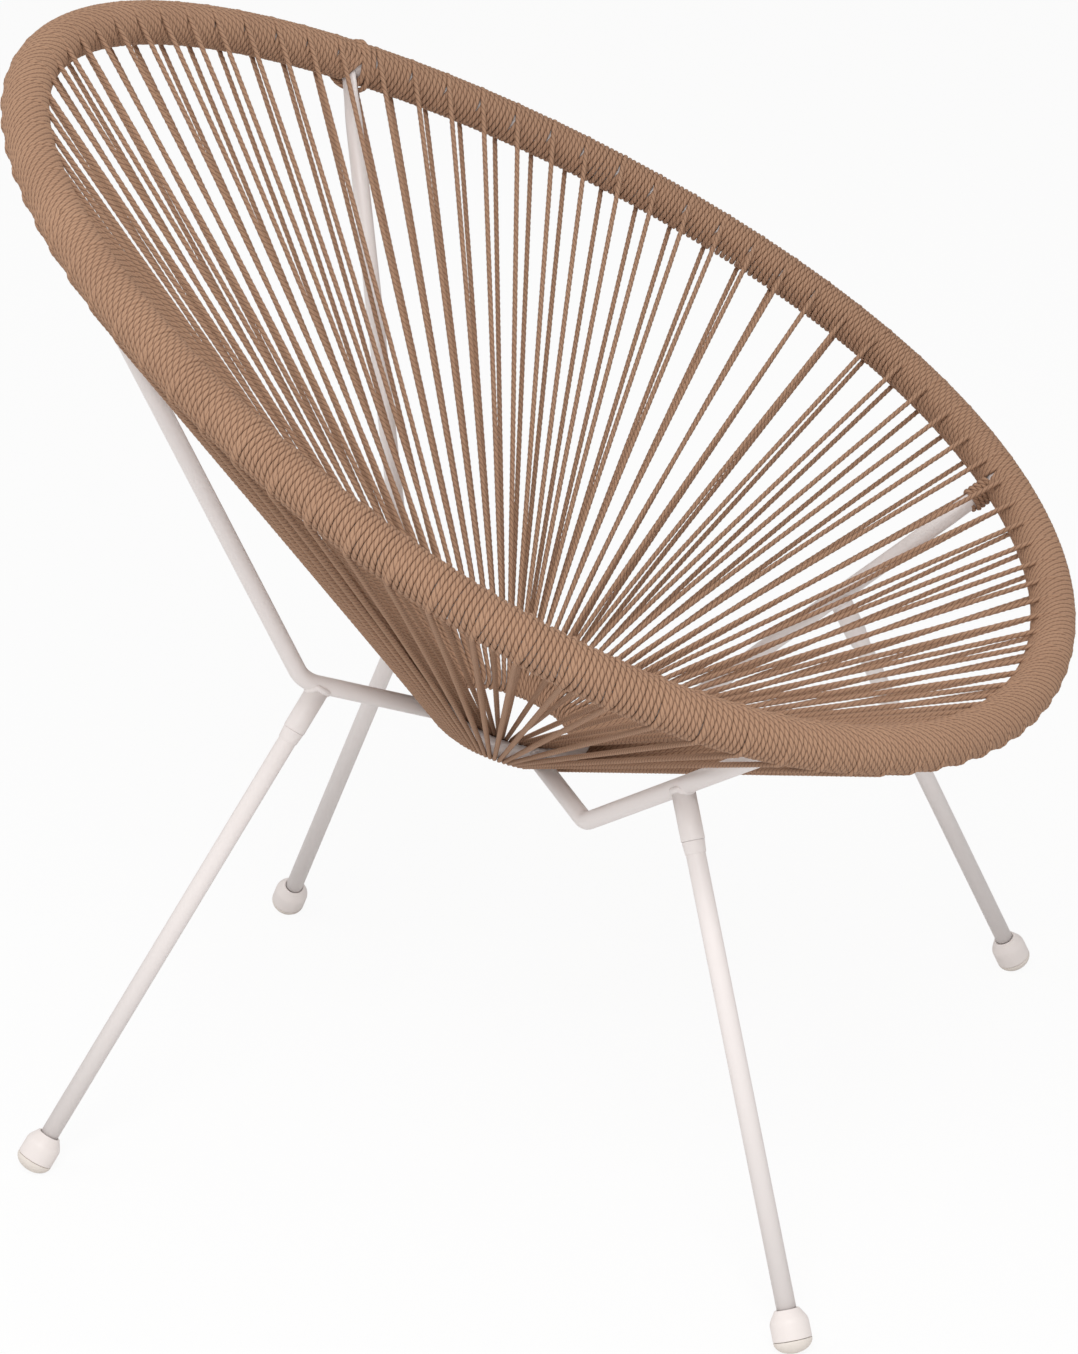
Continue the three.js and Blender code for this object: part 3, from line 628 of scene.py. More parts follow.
def line_mesh(name, lines, closed=False, **values):
    """A mesh of edges along lines of points, with each point's cord number and other values."""
    points = np.concatenate(lines)
    edges = []
    start = 0
    for line in lines:
        last = len(line) if closed else len(line) - 1
        edges += [(start + i, start + (i + 1) % len(line)) for i in range(last)]
        start += len(line)
    mesh = bpy.data.meshes.new(name)
    mesh.from_pydata(points.tolist(), edges, [])
    cords = np.concatenate([np.full(len(line), i) for i, line in enumerate(lines)])
    attribute = mesh.attributes.new("cord", "INT", "POINT")
    attribute.data.foreach_set("value", cords.astype(np.int32))
    for key, value in values.items():
        attribute = mesh.attributes.new(key, "FLOAT", "POINT")
        attribute.data.foreach_set("value", np.concatenate(value).astype(np.float32))
    return mesh


def grown(name, guide, tree, **sizes):
    """The plain mesh that a tree makes from a guide line."""
    holder = link(bpy.data.objects.new(name + "_guide", guide))
    modifier = holder.modifiers.new("Grow", "NODES")
    modifier.node_group = tree
    for item in tree.interface.items_tree:
        key = item.name.replace(" ", "_").lower()
        if item.in_out == "INPUT" and key in sizes:
            modifier[item.identifier] = sizes[key]
    evaluated = holder.evaluated_get(bpy.context.evaluated_depsgraph_get())
    mesh = bpy.data.meshes.new_from_object(evaluated)
    bpy.data.objects.remove(holder)
    mesh.name = name
    return link(bpy.data.objects.new(name, mesh))


def lofted(name, rings, material):
    """A smooth skin through rings of points, with both ends filled."""
    sides = len(rings[0])
    faces = []
    for r in range(len(rings) - 1):
        for k in range(sides):
            n = (k + 1) % sides
            low, high = r * sides, (r + 1) * sides
            faces.append((low + k, low + n, high + n, high + k))
    faces.append(tuple(reversed(range(sides))))
    faces.append(tuple(range((len(rings) - 1) * sides, len(rings) * sides)))
    mesh = bpy.data.meshes.new(name)
    mesh.from_pydata(np.concatenate(rings).tolist(), [], faces)
    mesh.polygons.foreach_set("use_smooth", [len(f) == 4 for f in faces])
    mesh.materials.append(material)
    mesh.update()
    return link(bpy.data.objects.new(name, mesh))


def turned_piece(name, outline, leg, material):
    """A piece turned about a leg: its outline is a list of (radius, distance from the arm)."""
    start, direction = leg["start"], leg["direction"]
    first = square_to((0, 0, 1), direction)
    second = np.cross(direction, first)
    angles = np.linspace(0, TAU, TURNED_SIDES, endpoint=False)
    spokes = np.cos(angles)[:, None] * first + np.sin(angles)[:, None] * second
    rings = [start + direction * distance + radius * spokes for radius, distance in outline]
    return lofted(name, rings, material)


def rounded_outline(corners):
    """An outline of (radius, distance, rounding) with each corner cut round."""
    points = [np.array(corner[:2]) for corner in corners]
    outline = []
    for i, here in enumerate(points):
        rounding = corners[i][2]
        if rounding <= 0 or i in (0, len(corners) - 1):
            outline.append(tuple(here))
            continue
        before = unit(points[i - 1] - here) * rounding
        after = unit(points[i + 1] - here) * rounding
        for step in range(ROUNDING_STEPS + 1):
            share = step / ROUNDING_STEPS
            bend = (1 - share) ** 2 * before + share**2 * after
            outline.append(tuple(here + bend))
    return outline


# Materials


def srgb(red, green, blue):
    """A colour as written, in the linear values that a shader takes."""

    def linear(value):
        value /= 255
        return value / 12.92 if value <= 0.04045 else ((value + 0.055) / 1.055) ** 2.4

    return (linear(red), linear(green), linear(blue), 1.0)


class Finish(Board):
    """A material with one main shader."""

    def __init__(self, name, color, roughness, metallic=0.0):
        self.material = bpy.data.materials.new(name)
        self.material.use_nodes = True
        super().__init__(self.material.node_tree)
        self.shader = self.tree.nodes["Principled BSDF"]
        self.shader.inputs["Base Color"].default_value = srgb(*color)
        self.shader.inputs["Roughness"].default_value = roughness
        self.shader.inputs["Metallic"].default_value = metallic

    def place(self):
        return self.wire(self.node("ShaderNodeTexCoord"), "Object")

    def noise(self, scale, detail=2.0):
        node = self.node("ShaderNodeTexNoise", Scale=scale, Detail=detail)
        self.feed(node.inputs["Vector"], self.place())
        return self.wire(node)

    def mix(self, share, first, second):
        node = self.node("ShaderNodeMix", {"data_type": "RGBA"})
        self.feed(node.inputs["Factor"], share)
        for number, color in ((MIX_FIRST_COLOR, first), (MIX_SECOND_COLOR, second)):
            self.feed(node.inputs[number], color if isinstance(color, Wire) else srgb(*color))
        return self.wire(node, MIX_COLOR)

    def color(self, color):
        self.feed(self.shader.inputs["Base Color"], color)

    def roughen(self, least, spread, scale):
        self.feed(self.shader.inputs["Roughness"], least + self.noise(scale) * spread)

    def bump(self, height, strength, distance):
        node = self.node("ShaderNodeBump", Strength=strength, Distance=distance)
        self.feed(node.inputs["Height"], height)
        self.feed(self.shader.inputs["Normal"], self.wire(node))


def paint_finish():
    """Satin powder coat with a faint orange peel."""
    finish = Finish("frame_paint", PAINT_COLOR, roughness=0.42)
    finish.shader.inputs["Specular IOR Level"].default_value = 0.4
    finish.color(finish.mix(finish.noise(scale=9.0), PAINT_DARK, PAINT_LIGHT))
    finish.roughen(least=0.38, spread=0.09, scale=60.0)
    finish.bump(finish.noise(scale=900.0, detail=1.0), strength=0.12, distance=0.0002)
    return finish.material


def rope_finish():
    """Matt polyester rope with fine yarns along each strand, and painted shade between the strands
    and along the yarns.
    """
    finish = Finish("rope", ROPE_COLOR, roughness=0.8)
    finish.shader.inputs["Specular IOR Level"].default_value = 0.25
    lay = finish.wire(finish.node("ShaderNodeAttribute", {"attribute_name": "lay"}), "Vector")
    parts = finish.node("ShaderNodeSeparateXYZ")
    finish.feed(parts.inputs["Vector"], lay)
    angle = finish.wire(parts, "Y").turn_of(finish.wire(parts, "X"))
    strand = 0.5 + (angle * STRANDS).cosine() * 0.5
    yarn = 0.5 + (angle * (STRANDS * YARNS_PER_STRAND)).cosine() * 0.5
    yarn = yarn.power(YARN_SHARPNESS)
    fibre = finish.noise(scale=1400.0, detail=3.0)
    lit = finish.mix(finish.noise(scale=26.0, detail=3.0), ROPE_DARK, ROPE_LIGHT)
    worn = finish.mix(fibre * FIBRE_SHADE_SHARE, lit, ROPE_WORN)
    # Painted shade: darker in the grooves between strands and along the yarn lines
    groove = (1 - strand).power(GROOVE_SHARPNESS) * GROOVE_SHADE_SHARE
    finish.color(finish.mix(groove + yarn * YARN_SHADE_SHARE, worn, ROPE_GROOVE_SHADE))
    height = strand * STRAND_RELIEF_SHARE - yarn * YARN_RELIEF_SHARE
    finish.bump(height + fibre * FIBRE_RELIEF_SHARE, strength=0.45, distance=0.0003)
    return finish.material


def zinc_finish():
    """Plated zinc, a little uneven in its gloss."""
    finish = Finish("zinc", ZINC_COLOR, roughness=0.33, metallic=1.0)
    finish.roughen(least=0.26, spread=0.16, scale=300.0)
    return finish.material


def plastic_finish():
    """Moulded cap, a shade duller than the paint."""
    finish = Finish("cap_plastic", CAP_COLOR, roughness=0.5)
    finish.bump(finish.noise(scale=1500.0, detail=1.0), strength=0.08, distance=0.0001)
    return finish.material


def rubber_finish():
    """Soft pad, a little yellower than the cap and lightly scuffed."""
    finish = Finish("pad_rubber", PAD_COLOR, roughness=0.72)
    scuff = finish.noise(scale=420.0, detail=4.0)
    finish.color(finish.mix(scuff * 0.5, PAD_CLEAN, PAD_SCUFFED))
    finish.bump(scuff, strength=0.15, distance=0.0002)
    return finish.material


PAINT = paint_finish()
ROPE = rope_finish()
ZINC = zinc_finish()
PLASTIC = plastic_finish()
RUBBER = rubber_finish()
ROPE_TREE = rope_grower()
TUBE_TREE = tube_grower()
WELD_TREE = weld_grower()


# Arms


def arm_line(name):
    """An arm from the rim down to its bend and in to the hub ring."""
    side, rim_degrees, hub_degrees, bend = ARMS[name]
    distance = rim_distance(rim_degrees)
    point, tangent, _ = rim_at(distance)
    corner = np.array([side * bend[0], bend[1], bend[2]])
    hub_end, _ = hub_at(hub_degrees)
    down = unit(corner - point)
    inwards = unit(hub_end - corner)
    lean = math.pi / 2 - math.acos(float(down @ tangent))
    return {
        "distance": distance,
        "degrees": hub_degrees,
        "tangent": tangent,
        "rim_end": point,
        "bend": corner,
        "bend_radius": REAR_BEND_RADIUS if name.startswith("rear") else FRONT_BEND_RADIUS,
        "hub_end": hub_end,
        "down": down,
        "inwards": inwards,
        "lean": lean,
    }


LINES = {name: arm_line(name) for name in ARMS}


def flat_end(line):
    """How far an arm is flat from the rim's middle, until its binding clears the winding."""
    half = ARM_FLAT_THICKNESS / 2 + 2 * ROPE_RADIUS
    reach = WRAP_RADIUS + ROPE_RADIUS
    return (reach + half * math.sin(abs(line["lean"]))) / math.cos(line["lean"])


def arm_halves(line, distance):
    """Half an arm's size along the rim and across it: flat near the rim, round further down."""
    share = smooth_step((distance - flat_end(line)) / ARM_TAPER_LENGTH)
    along = ARM_FLAT_THICKNESS / 2 * (1 - share) + ARM_RADIUS * share
    across = ARM_FLAT_WIDTH / 2 * (1 - share) + ARM_RADIUS * share
    return along, across


def oval(centre, direction, reference, along, across):
    first = square_to(reference, direction)
    second = np.cross(direction, first)
    angles = np.linspace(0, TAU, TUBE_SIDES, endpoint=False)
    cosine = np.cos(angles)[:, None] * along
    sine = np.sin(angles)[:, None] * across
    return centre + cosine * first + sine * second


def bend_parts(line):
    """The bend's start, the axis that it turns about, its middle and its whole angle."""
    angle = math.acos(float(line["down"] @ line["inwards"]))
    start = line["bend"] - line["down"] * line["bend_radius"] * math.tan(angle / 2)
    axis = cross(line["down"], line["inwards"])
    middle = start + np.cross(axis, line["down"]) * line["bend_radius"]
    return start, axis, middle, angle


def arm_rings(line):
    start, axis, middle, angle = bend_parts(line)
    length = float(np.linalg.norm(start - line["rim_end"]))
    taper_end = flat_end(line) + ARM_TAPER_LENGTH
    rings = []
    for distance in [0, *np.linspace(flat_end(line), taper_end, TAPER_STEPS), length]:
        halves = arm_halves(line, distance)
        centre = line["rim_end"] + line["down"] * distance
        rings.append(oval(centre, line["down"], line["tangent"], *halves))
    round_halves = (ARM_RADIUS, ARM_RADIUS)
    for step in range(1, BEND_STEPS + 1):
        turn = angle * step / BEND_STEPS
        spoke = turned(start - middle, axis, turn)
        direction = turned(line["down"], axis, turn)
        rings.append(oval(middle + spoke, direction, line["tangent"], *round_halves))
    rings.append(oval(line["hub_end"], line["inwards"], line["tangent"], *round_halves))
    return rings


def weld_line(end, direction, radius, ear, depth, gap_to):
    """The closed line along which a tube that runs to its end meets another, found by halving.
    Where it runs past the other's side, it stops an ear short of its end. The line lies a depth
    under both skins. gap_to gives how far points are outside the other tube."""
    start = end - direction * WELD_SEARCH
    first = square_to((0, 0, 1), direction)
    second = np.cross(direction, first)
    angles = np.linspace(0, TAU, WELD_STEPS, endpoint=False)
    rim = np.cos(angles)[:, None] * first + np.sin(angles)[:, None] * second
    base = start + (radius - depth) * rim
    near = np.zeros(WELD_STEPS)
    far = np.full(WELD_STEPS, WELD_SEARCH - ear)
    for _ in range(WELD_HALVINGS):
        middle = (near + far) / 2
        outside = gap_to(base + middle[:, None] * direction) > 0
        near = np.where(outside, middle, near)
        far = np.where(outside, far, middle)
    return base + (near[:, None] + depth) * direction


def add_weld(name, line, seed):
    guide = line_mesh(name, [line], closed=True)
    sizes = {
        "radius": WELD_RADIUS,
        "ripples": WELD_RIPPLES,
        "ripple_depth": WELD_RIPPLE_SHARE,
        "seed": float(seed),
        "material": PAINT,
    }
    settle(grown(name, guide, WELD_TREE, **sizes), "frame_paint")


def hub_bar_gap(points):
    return from_hub_ring(points) - HUB_BAR_RADIUS


def add_arm(name, line, seed):
    """An arm and its weld to the hub ring."""
    piece = lofted(f"arm_tube_{name}", arm_rings(line), PAINT)
    settle(piece, "frame_paint", f"arm_{name}")
    bead = weld_line(line["hub_end"], line["inwards"], ARM_RADIUS, 0, WELD_DEPTH, hub_bar_gap)
    add_weld(f"hub_weld_{name}", bead, seed)


# Legs


def pad_reach(lean):
    """How far below its seam a leaning pad comes."""
    return math.hypot(PAD_DOME * math.cos(lean), CAP_RADIUS * math.sin(lean))


def leg_line(name, line):
    """A leg from its arm to the seam above its pad, which stands a little flattened."""
    side = ARMS[name][0]
    if name.startswith("rear"):
        start = line["bend"] + line["inwards"] * REAR_SOCKET_FROM_BEND
        run = line["inwards"]
        foot = REAR_FOOT
    else:
        start = line["bend"] - line["down"] * FRONT_SOCKET_FROM_BEND
        run = line["down"]
        foot = FRONT_FOOT
    seam = np.array([side * foot[0], foot[1], PAD_DOME])
    for _ in range(LEG_TRIES):
        direction = unit(seam - start)
        seam[2] = pad_reach(math.acos(-direction[2])) - PAD_FLAT_DEPTH
    direction = unit(seam - start)
    length = float(np.linalg.norm(seam - start))
    return {"start": start, "direction": direction, "length": length, "run": run}


def add_socket(name, leg, seed):
    """A socket, coped to its arm, and its weld."""

    def arm_gap(points):
        away = np.cross(points - leg["start"], leg["run"])
        return np.linalg.norm(away, axis=1) - ARM_RADIUS

    bore = SOCKET_RADIUS - SOCKET_WALL
    outline = rounded_outline(
        [
            (SOCKET_RADIUS, SOCKET_EAR, 0),
            (SOCKET_RADIUS, SOCKET_REACH, SOCKET_RIM_ROUNDING),
            (bore, SOCKET_REACH, SOCKET_MOUTH_ROUNDING),
            (bore, SOCKET_REACH - SOCKET_MOUTH_DEPTH, 0),
        ]
    )
    piece = turned_piece(f"socket_sleeve_{name}", outline, leg, PAINT)
    settle(piece, "frame_paint", f"socket_{name}")
    direction = -leg["direction"]
    bead = weld_line(leg["start"], direction, SOCKET_RADIUS, SOCKET_EAR, WELD_DEPTH, arm_gap)
    add_weld(f"socket_weld_{name}", bead, seed)


def add_collar(name, leg):
    """A collar turned in one with its stud, above, and its spigot in the leg, below."""
    top = SOCKET_REACH + SEAM_GAP
    foot = top + COLLAR_LENGTH
    spigot = LEG_RADIUS - LEG_WALL - PART_GAP
    outline = rounded_outline(
        [
            (STUD_RADIUS * STUD_TIP_SHARE, top - STUD_LENGTH, 0),
            (STUD_RADIUS, top - STUD_LENGTH + STUD_TIP_LENGTH, STUD_ROUNDING),
            (STUD_RADIUS, top, 0),
            (COLLAR_TOP_RADIUS, top, COLLAR_TOP_ROUNDING),
            (COLLAR_FOOT_RADIUS, foot, COLLAR_FOOT_ROUNDING),
            (spigot, foot, 0),
            (spigot, foot + SPIGOT_LENGTH, 0),
        ]
    )
    piece = turned_piece(f"leg_collar_{name}", outline, leg, PAINT)
    settle(piece, "frame_paint", f"leg_stud_{name}")


def add_leg_tube(name, leg, cap_top):
    top = SOCKET_REACH + SEAM_GAP + COLLAR_LENGTH
    bore = LEG_RADIUS - LEG_WALL
    outline = rounded_outline(
        [
            (bore, top, 0),
            (LEG_RADIUS, top, LEG_ROUNDING),
            (LEG_RADIUS, cap_top + CAP_GRIP, 0),
        ]
    )
    piece = turned_piece(f"leg_pipe_{name}", outline, leg, PAINT)
    settle(piece, "frame_paint", f"leg_tube_{name}")


def add_foot_cap(name, leg, cap_top):
    seam = leg["length"]
    outline = rounded_outline(
        [
            (LEG_RADIUS + PART_GAP, cap_top + CAP_LIP_DEPTH, 0),
            (LEG_RADIUS + PART_GAP, cap_top, CAP_LIP_ROUNDING),
            (CAP_MOUTH_RADIUS, cap_top, CAP_MOUTH_ROUNDING),
            (CAP_RADIUS, seam - CAP_SIDE, CAP_SHOULDER_ROUNDING),
            (CAP_RADIUS, seam, CAP_SEAM_ROUNDING),
            (CAP_RADIUS * CAP_FLOOR_SHARE, seam, 0),
        ]
    )
    piece = turned_piece(f"foot_cup_{name}", outline, leg, PLASTIC)
    settle(piece, "cap_plastic", f"foot_cap_{name}")


def add_foot_pad(name, leg):
    """A domed pad below the seam, flattened where it stands on the floor."""
    top = leg["length"] + PART_GAP
    dome = [(CAP_RADIUS * CAP_FLOOR_SHARE, top)]
    for angle in np.linspace(math.pi / 2, PAD_TIP_ANGLE, PAD_RINGS):
        reach = top + (PAD_DOME - PART_GAP) * math.cos(angle)
        dome.append((CAP_RADIUS * math.sin(angle), reach))
    pad = turned_piece(f"foot_dome_{name}", dome, leg, RUBBER)
    for vertex in pad.data.vertices:
        vertex.co.z = max(vertex.co.z, 0)
    settle(pad, "pad_rubber", f"foot_pad_{name}")


def dress_insert(name):
    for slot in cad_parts[f"socket_insert_{name}"].material_slots:
        slot.material = ZINC


# Rope


def string_angle(distance, hub_point):
    """Where round the rim's tube a string to the hub ring leaves it, on the sitter's side."""
    point, tangent, outwards = rim_at(distance)
    face = cross(unit(hub_point - point), tangent)
    return math.atan2(float(face @ RIM_NORMAL), float(face @ outwards))


def span_loops(name):
    """Each loop's places on the rim, its place on the hub ring, and how far it leans over there
    towards the nearer arm."""
    first, second, first_share, sectors = SPANS[name]
    count = sum(sectors)
    start, end = LINES[first]["distance"], LINES[second]["distance"]
    if end < start:
        end += RIM_GIRTH
    pitch = (end - start) / count
    clear = ARM_RADIUS + ROPE_RADIUS + PART_GAP
    margin = math.degrees(math.asin(clear / HUB_RADIUS))
    hub_start = LINES[first]["degrees"] + margin
    hub_span = (LINES[second]["degrees"] - LINES[first]["degrees"]) % 360 - 2 * margin
    loops = []
    for i in range(count):
        degrees = hub_start + hub_span * i / (count - 1)
        front = start + (i + first_share) * pitch + chance.uniform(-1, 1) * STATION_WANDER
        hub, tangent = hub_at(degrees)
        nearness = [max(0, 1 - k / HUB_SPREAD_LOOPS) for k in (i, count - 1 - i)]
        towards_first, towards_second = (share**HUB_SPREAD_POWER for share in nearness)
        loop = {
            "front": front,
            "back": front - BACK_STRING_LEAD,
            "hub": hub,
            "tangent": tangent,
            "spacing": math.radians(hub_span / (count - 1)) * HUB_RADIUS,
            "shift": HUB_SPREAD * (towards_second - towards_first),
        }
        loops.append(loop)
    return loops


def part_round_arm(stations, high, low, pitch):
    """The passes' places on the rim's inner side, moved apart if an arm comes through them."""
    for line in LINES.values():
        middle = line["distance"] + math.tan(line["lean"]) * WRAP_RADIUS
        middle += RIM_GIRTH * round((high - middle) / RIM_GIRTH)
        if not low < middle < high:
            continue
        drift = math.tan(abs(line["lean"])) * ROPE_RADIUS
        half = ARM_FLAT_THICKNESS / 2 + drift + ROPE_RADIUS + ARM_GAP_CLEARANCE
        above = np.sum(stations > middle)
        below = len(stations) - above
        first = high - PARTED_FIRST_SHARE * pitch
        last = low - PARTED_LAST_SHARE * pitch
        stations[:above] = np.linspace(first, middle + half, above)
        stations[above:] = np.linspace(middle - half, last, below)
    return stations


def splice(from_end):
    """How full a rope is where it runs into its own next length, by the distance to its end."""
    return 1 - SPLICE_DEPTH_SHARE * (1 - smooth_step(from_end / SPLICE_LENGTH))


def wrap_line(upper, lower):
    """Rope round the rim: it comes up behind as the back string of one loop, goes round and
    leaves in front as the next loop's string. On the inner side its passes are drawn down
    towards that string, and parted where an arm comes through them."""
    high, low = upper["front"], lower["front"]
    if low > high:
        low -= RIM_GIRTH
    pitch = (high - low) / PASSES_PER_LOOP
    front_angle = string_angle(low, lower["hub"])
    passes = np.arange(PASSES_PER_LOOP)
    wander = chance.uniform(-1, 1, 2 * PASSES_PER_LOOP) * WRAP_WANDER
    outer = high - (passes + OUTER_LEAD_SHARE) * pitch
    inner = high - (passes[:-1] + INNER_LEAD_SHARE) * pitch
    most_drawn = chance.uniform(DRAWN_LEAST_SHARE, DRAWN_MOST_SHARE)
    drawn = inner - most_drawn * passes[:-1] / passes[-2] * pitch
    parted = part_round_arm(drawn.copy(), high, low, pitch)
    marks = np.empty(2 * PASSES_PER_LOOP + 1)
    marks[0] = high - BACK_STRING_LEAD
    marks[1:-1:2] = outer
    marks[2:-1:2] = inner
    marks[-1] = low
    marks[1:] += wander
    start, end = -2 * QUARTER_TURN_SHARE, passes[-1]
    sides = np.arange(2 * PASSES_PER_LOOP - 1) / 2 - QUARTER_TURN_SHARE
    turn = np.linspace(start, end, int((end - start) * WRAP_STEPS) + 1)
    distance = np.interp(turn, [start, *sides, end], marks)
    inner_turn = turn - QUARTER_TURN_SHARE
    nearest = np.clip(np.round(inner_turn).astype(int), 0, len(inner) - 1)
    beyond = inner_turn - nearest
    room = np.minimum(DRAWN_FRONT_SHARE + beyond, DRAWN_BACK_SHARE - beyond)
    distance += (drawn - inner)[nearest] * smooth_step(room / DRAWN_EASE_SHARE)
    room = PARTING_SHARE - np.abs(beyond)
    distance += (parted - drawn)[nearest] * smooth_step(room / PARTING_EASE_SHARE)
    padded = np.pad(distance, EASING_STEPS, mode="edge")
    easing = np.ones(EASING_STEPS) / EASING_STEPS
    eased = np.convolve(padded, easing, mode="same")[EASING_STEPS:-EASING_STEPS]
    rise = START_LIFT * (1 - smooth_step((turn - start) / START_LIFT_SHARE))
    rise += END_LIFT * smooth_step((turn - end) / END_LIFT_SHARE + 1)
    points = round_rim(eased, front_angle + turn * TAU, WRAP_RADIUS + rise)
    from_end = (end - turn) * TAU * WRAP_RADIUS
    from_start = (turn - start) * TAU * WRAP_RADIUS
    return points, WOUND_ROPE_RADIUS * splice(np.minimum(from_end, from_start))


def loop_line(loop):
    """A string from the rim's face to the hub ring, round it and back up behind the rim."""
    squeezed = min(ROPE_RADIUS, loop["spacing"] * SQUEEZE_SHARE)
    hub, tangent = loop["hub"], loop["tangent"]
    reach = HUB_BAR_RADIUS + ROPE_RADIUS * HUB_GRIP_SHARE
    middle, _, _ = rim_at((loop["front"] + loop["back"]) / 2)
    inwards = unit(hub - middle)
    face = cross(inwards, tangent)
    skew = 1 / math.sqrt(1 - float(inwards @ tangent) ** 2)
    angles = np.linspace(0, math.pi, LOOP_STEPS)
    arc = np.cos(angles)[:, None] * face + skew * np.sin(angles)[:, None] * inwards
    turn = hub + reach * arc
    under = smooth_step(angles / (math.pi / 2) - 1)[:, None]
    turn += loop["shift"] * (1 - HUB_UNDER_SHARE * under) * tangent
    front_angle = string_angle(loop["front"], hub)
    back_angle = string_angle(loop["back"], hub) + math.pi
    overlap = np.linspace(SPLICE_LENGTH / WRAP_RADIUS, 0, SPLICE_STEPS)
    front_end = round_rim(loop["front"], front_angle - overlap, WRAP_RADIUS + END_LIFT)
    back_end = round_rim(loop["back"], back_angle + overlap[::-1], WRAP_RADIUS + START_LIFT)
    run = np.linspace(0, 1, STRING_STEPS)[:, None]
    down = front_end[-1] * (1 - run) + turn[0] * run
    up = turn[-1] * (1 - run) + back_end[0] * run
    line = np.concatenate([front_end[:-1], down, turn[1:-1], up, back_end[1:]])
    pinch = smooth_step(1 - np.linalg.norm(line - hub, axis=1) / SQUEEZE_REACH)
    size = ROPE_RADIUS + (squeezed - ROPE_RADIUS) * pinch
    ends = [np.linalg.norm(line - end, axis=1) for end in (line[0], line[-1])]
    return line, size * splice(np.minimum(*ends))


def add_rope(name, lines, points, seed, *nodes):
    """One piece of rope along lines, each a pair of its points and its radius at each point."""
    paths = [line for line, _ in lines]
    guide = line_mesh(name, paths, thickness=[size for _, size in lines])
    sizes = {
        "points_on_a_strand": points,
        "groove_depth": GROOVE_DEPTH_SHARE,
        "lay_length": LAY_LENGTH,
        "ring_spacing": ROPE_RING_SPACING,
        "seed": seed,
        "material": ROPE,
    }
    settle(grown(name, guide, ROPE_TREE, **sizes), "rope", *nodes)


def stub_line(line):
    """Turns of rope round the flattened end of an arm, from the rim on, with the end tucked in."""
    along = square_to(line["tangent"], line["down"])
    across = np.cross(line["down"], along)
    start = WRAP_RADIUS - BINDING_TUCK_SHARE * ROPE_RADIUS
    points = []
    for turn in np.linspace(0, BINDING_TURNS, BINDING_TURNS * WRAP_STEPS):
        place = start + turn * BINDING_PITCH_SHARE * ROPE_RADIUS
        tucked = smooth_step((turn - BINDING_TURNS) / BINDING_END_TURNS + 1)
        lift = (BINDING_LIFT_SHARE - BINDING_END_DROP_SHARE * tucked) * ROPE_RADIUS
        halves = [half + lift for half in arm_halves(line, place)]
        angle = turn * TAU
        side = halves[0] * math.cos(angle) * along + halves[1] * math.sin(angle) * across
        points.append(line["rim_end"] + line["down"] * place + side)
    return np.array(points), np.full(len(points), ROPE_RADIUS)


def through(corners):
    """A smooth line through corners."""
    corners = np.array([2 * corners[0] - corners[1], *corners, 2 * corners[-1] - corners[-2]])
    share = np.linspace(0, 1, SADDLE_STEPS, endpoint=False)[:, None]
    pieces = []
    for a, b, c, d in zip(corners, corners[1:], corners[2:], corners[3:]):
        bend = (2 * a - 5 * b + 4 * c - d) * share**2 + (3 * b - a - 3 * c + d) * share**3
        pieces.append(b + ((c - a) * share + bend) / 2)
    return np.concatenate([*pieces, corners[-2:-1]])


def saddle_line(line, number):
    """Rope over the rim beside an arm, down, behind the arm and up over the rim again."""
    along = square_to(line["tangent"], line["down"])
    face = np.cross(along, line["down"])
    face = face if face @ RIM_NORMAL > 0 else -face
    beside_ropes = SADDLE_BESIDE_SHARE + SADDLE_BESIDE_STEP_SHARE * number
    low_ropes = SADDLE_LOW_SHARE + SADDLE_LOW_STEP_SHARE * number
    beside = ARM_FLAT_THICKNESS / 2 + beside_ropes * ROPE_RADIUS
    over = WRAP_RADIUS + SADDLE_OVER_SHARE * ROPE_RADIUS
    low = WRAP_RADIUS + low_ropes * ROPE_RADIUS
    behind = ARM_FLAT_WIDTH / 2 + ROPE_RADIUS
    corners = []
    for beside_share, over_share, behind_share, past_share, low_share in SADDLE_CORNER_SHARES:
        to_sitter = over_share * over + behind_share * behind
        down_arm = past_share * over + low_share * low
        corners.append((beside_share * beside, to_sitter, down_arm))
    frame_axes = np.array([along, face, line["down"]])
    points = line["rim_end"] + through(np.array(corners) @ frame_axes)
    return points, np.full(len(points), ROPE_RADIUS)


def binding_lines(name, line):
    """The front arms are bound round, and the rear arms are held by ropes over the rim."""
    if name.startswith("front"):
        return [stub_line(line)]
    return [saddle_line(line, number) for number in range(SADDLE_ROPES)]


# The chair


def add_ring(name, points, sides, radius, node):
    guide = line_mesh(name + "_line", [points], closed=True)
    piece = grown(name, guide, TUBE_TREE, sides=sides, radius=radius, material=PAINT)
    settle(piece, "frame_paint", node)


def add_rings():
    """The tube hoop under the winding, and the bar of the hub ring."""
    hoop = rim_point(np.linspace(0, TAU, HOOP_STEPS, endpoint=False))
    hub = np.array([hub_at(degrees)[0] for degrees in np.arange(0, 360, HUB_STEP_DEGREES)])
    add_ring("hoop_tube", hoop, HOOP_SIDES, RIM_TUBE_RADIUS, "rim_hoop")
    add_ring("hub_bar", hub, TUBE_SIDES, HUB_BAR_RADIUS, "hub_ring")


def add_corner(name, line, number):
    """An arm with its binding, and its leg from the socket down."""
    add_arm(name, line, number)
    leg = leg_line(name, line)
    add_socket(name, leg, number + len(LINES))
    add_collar(name, leg)
    cap_top = leg["length"] - CAP_SIDE - CAP_SHOULDER
    add_leg_tube(name, leg, cap_top)
    add_foot_cap(name, leg, cap_top)
    add_foot_pad(name, leg)
    lines = binding_lines(name, line)
    node = f"arm_binding_{name}"
    add_rope(f"binding_rope_{name}", lines, WINDING_STRAND_POINTS, number, node)
    dress_insert(name)


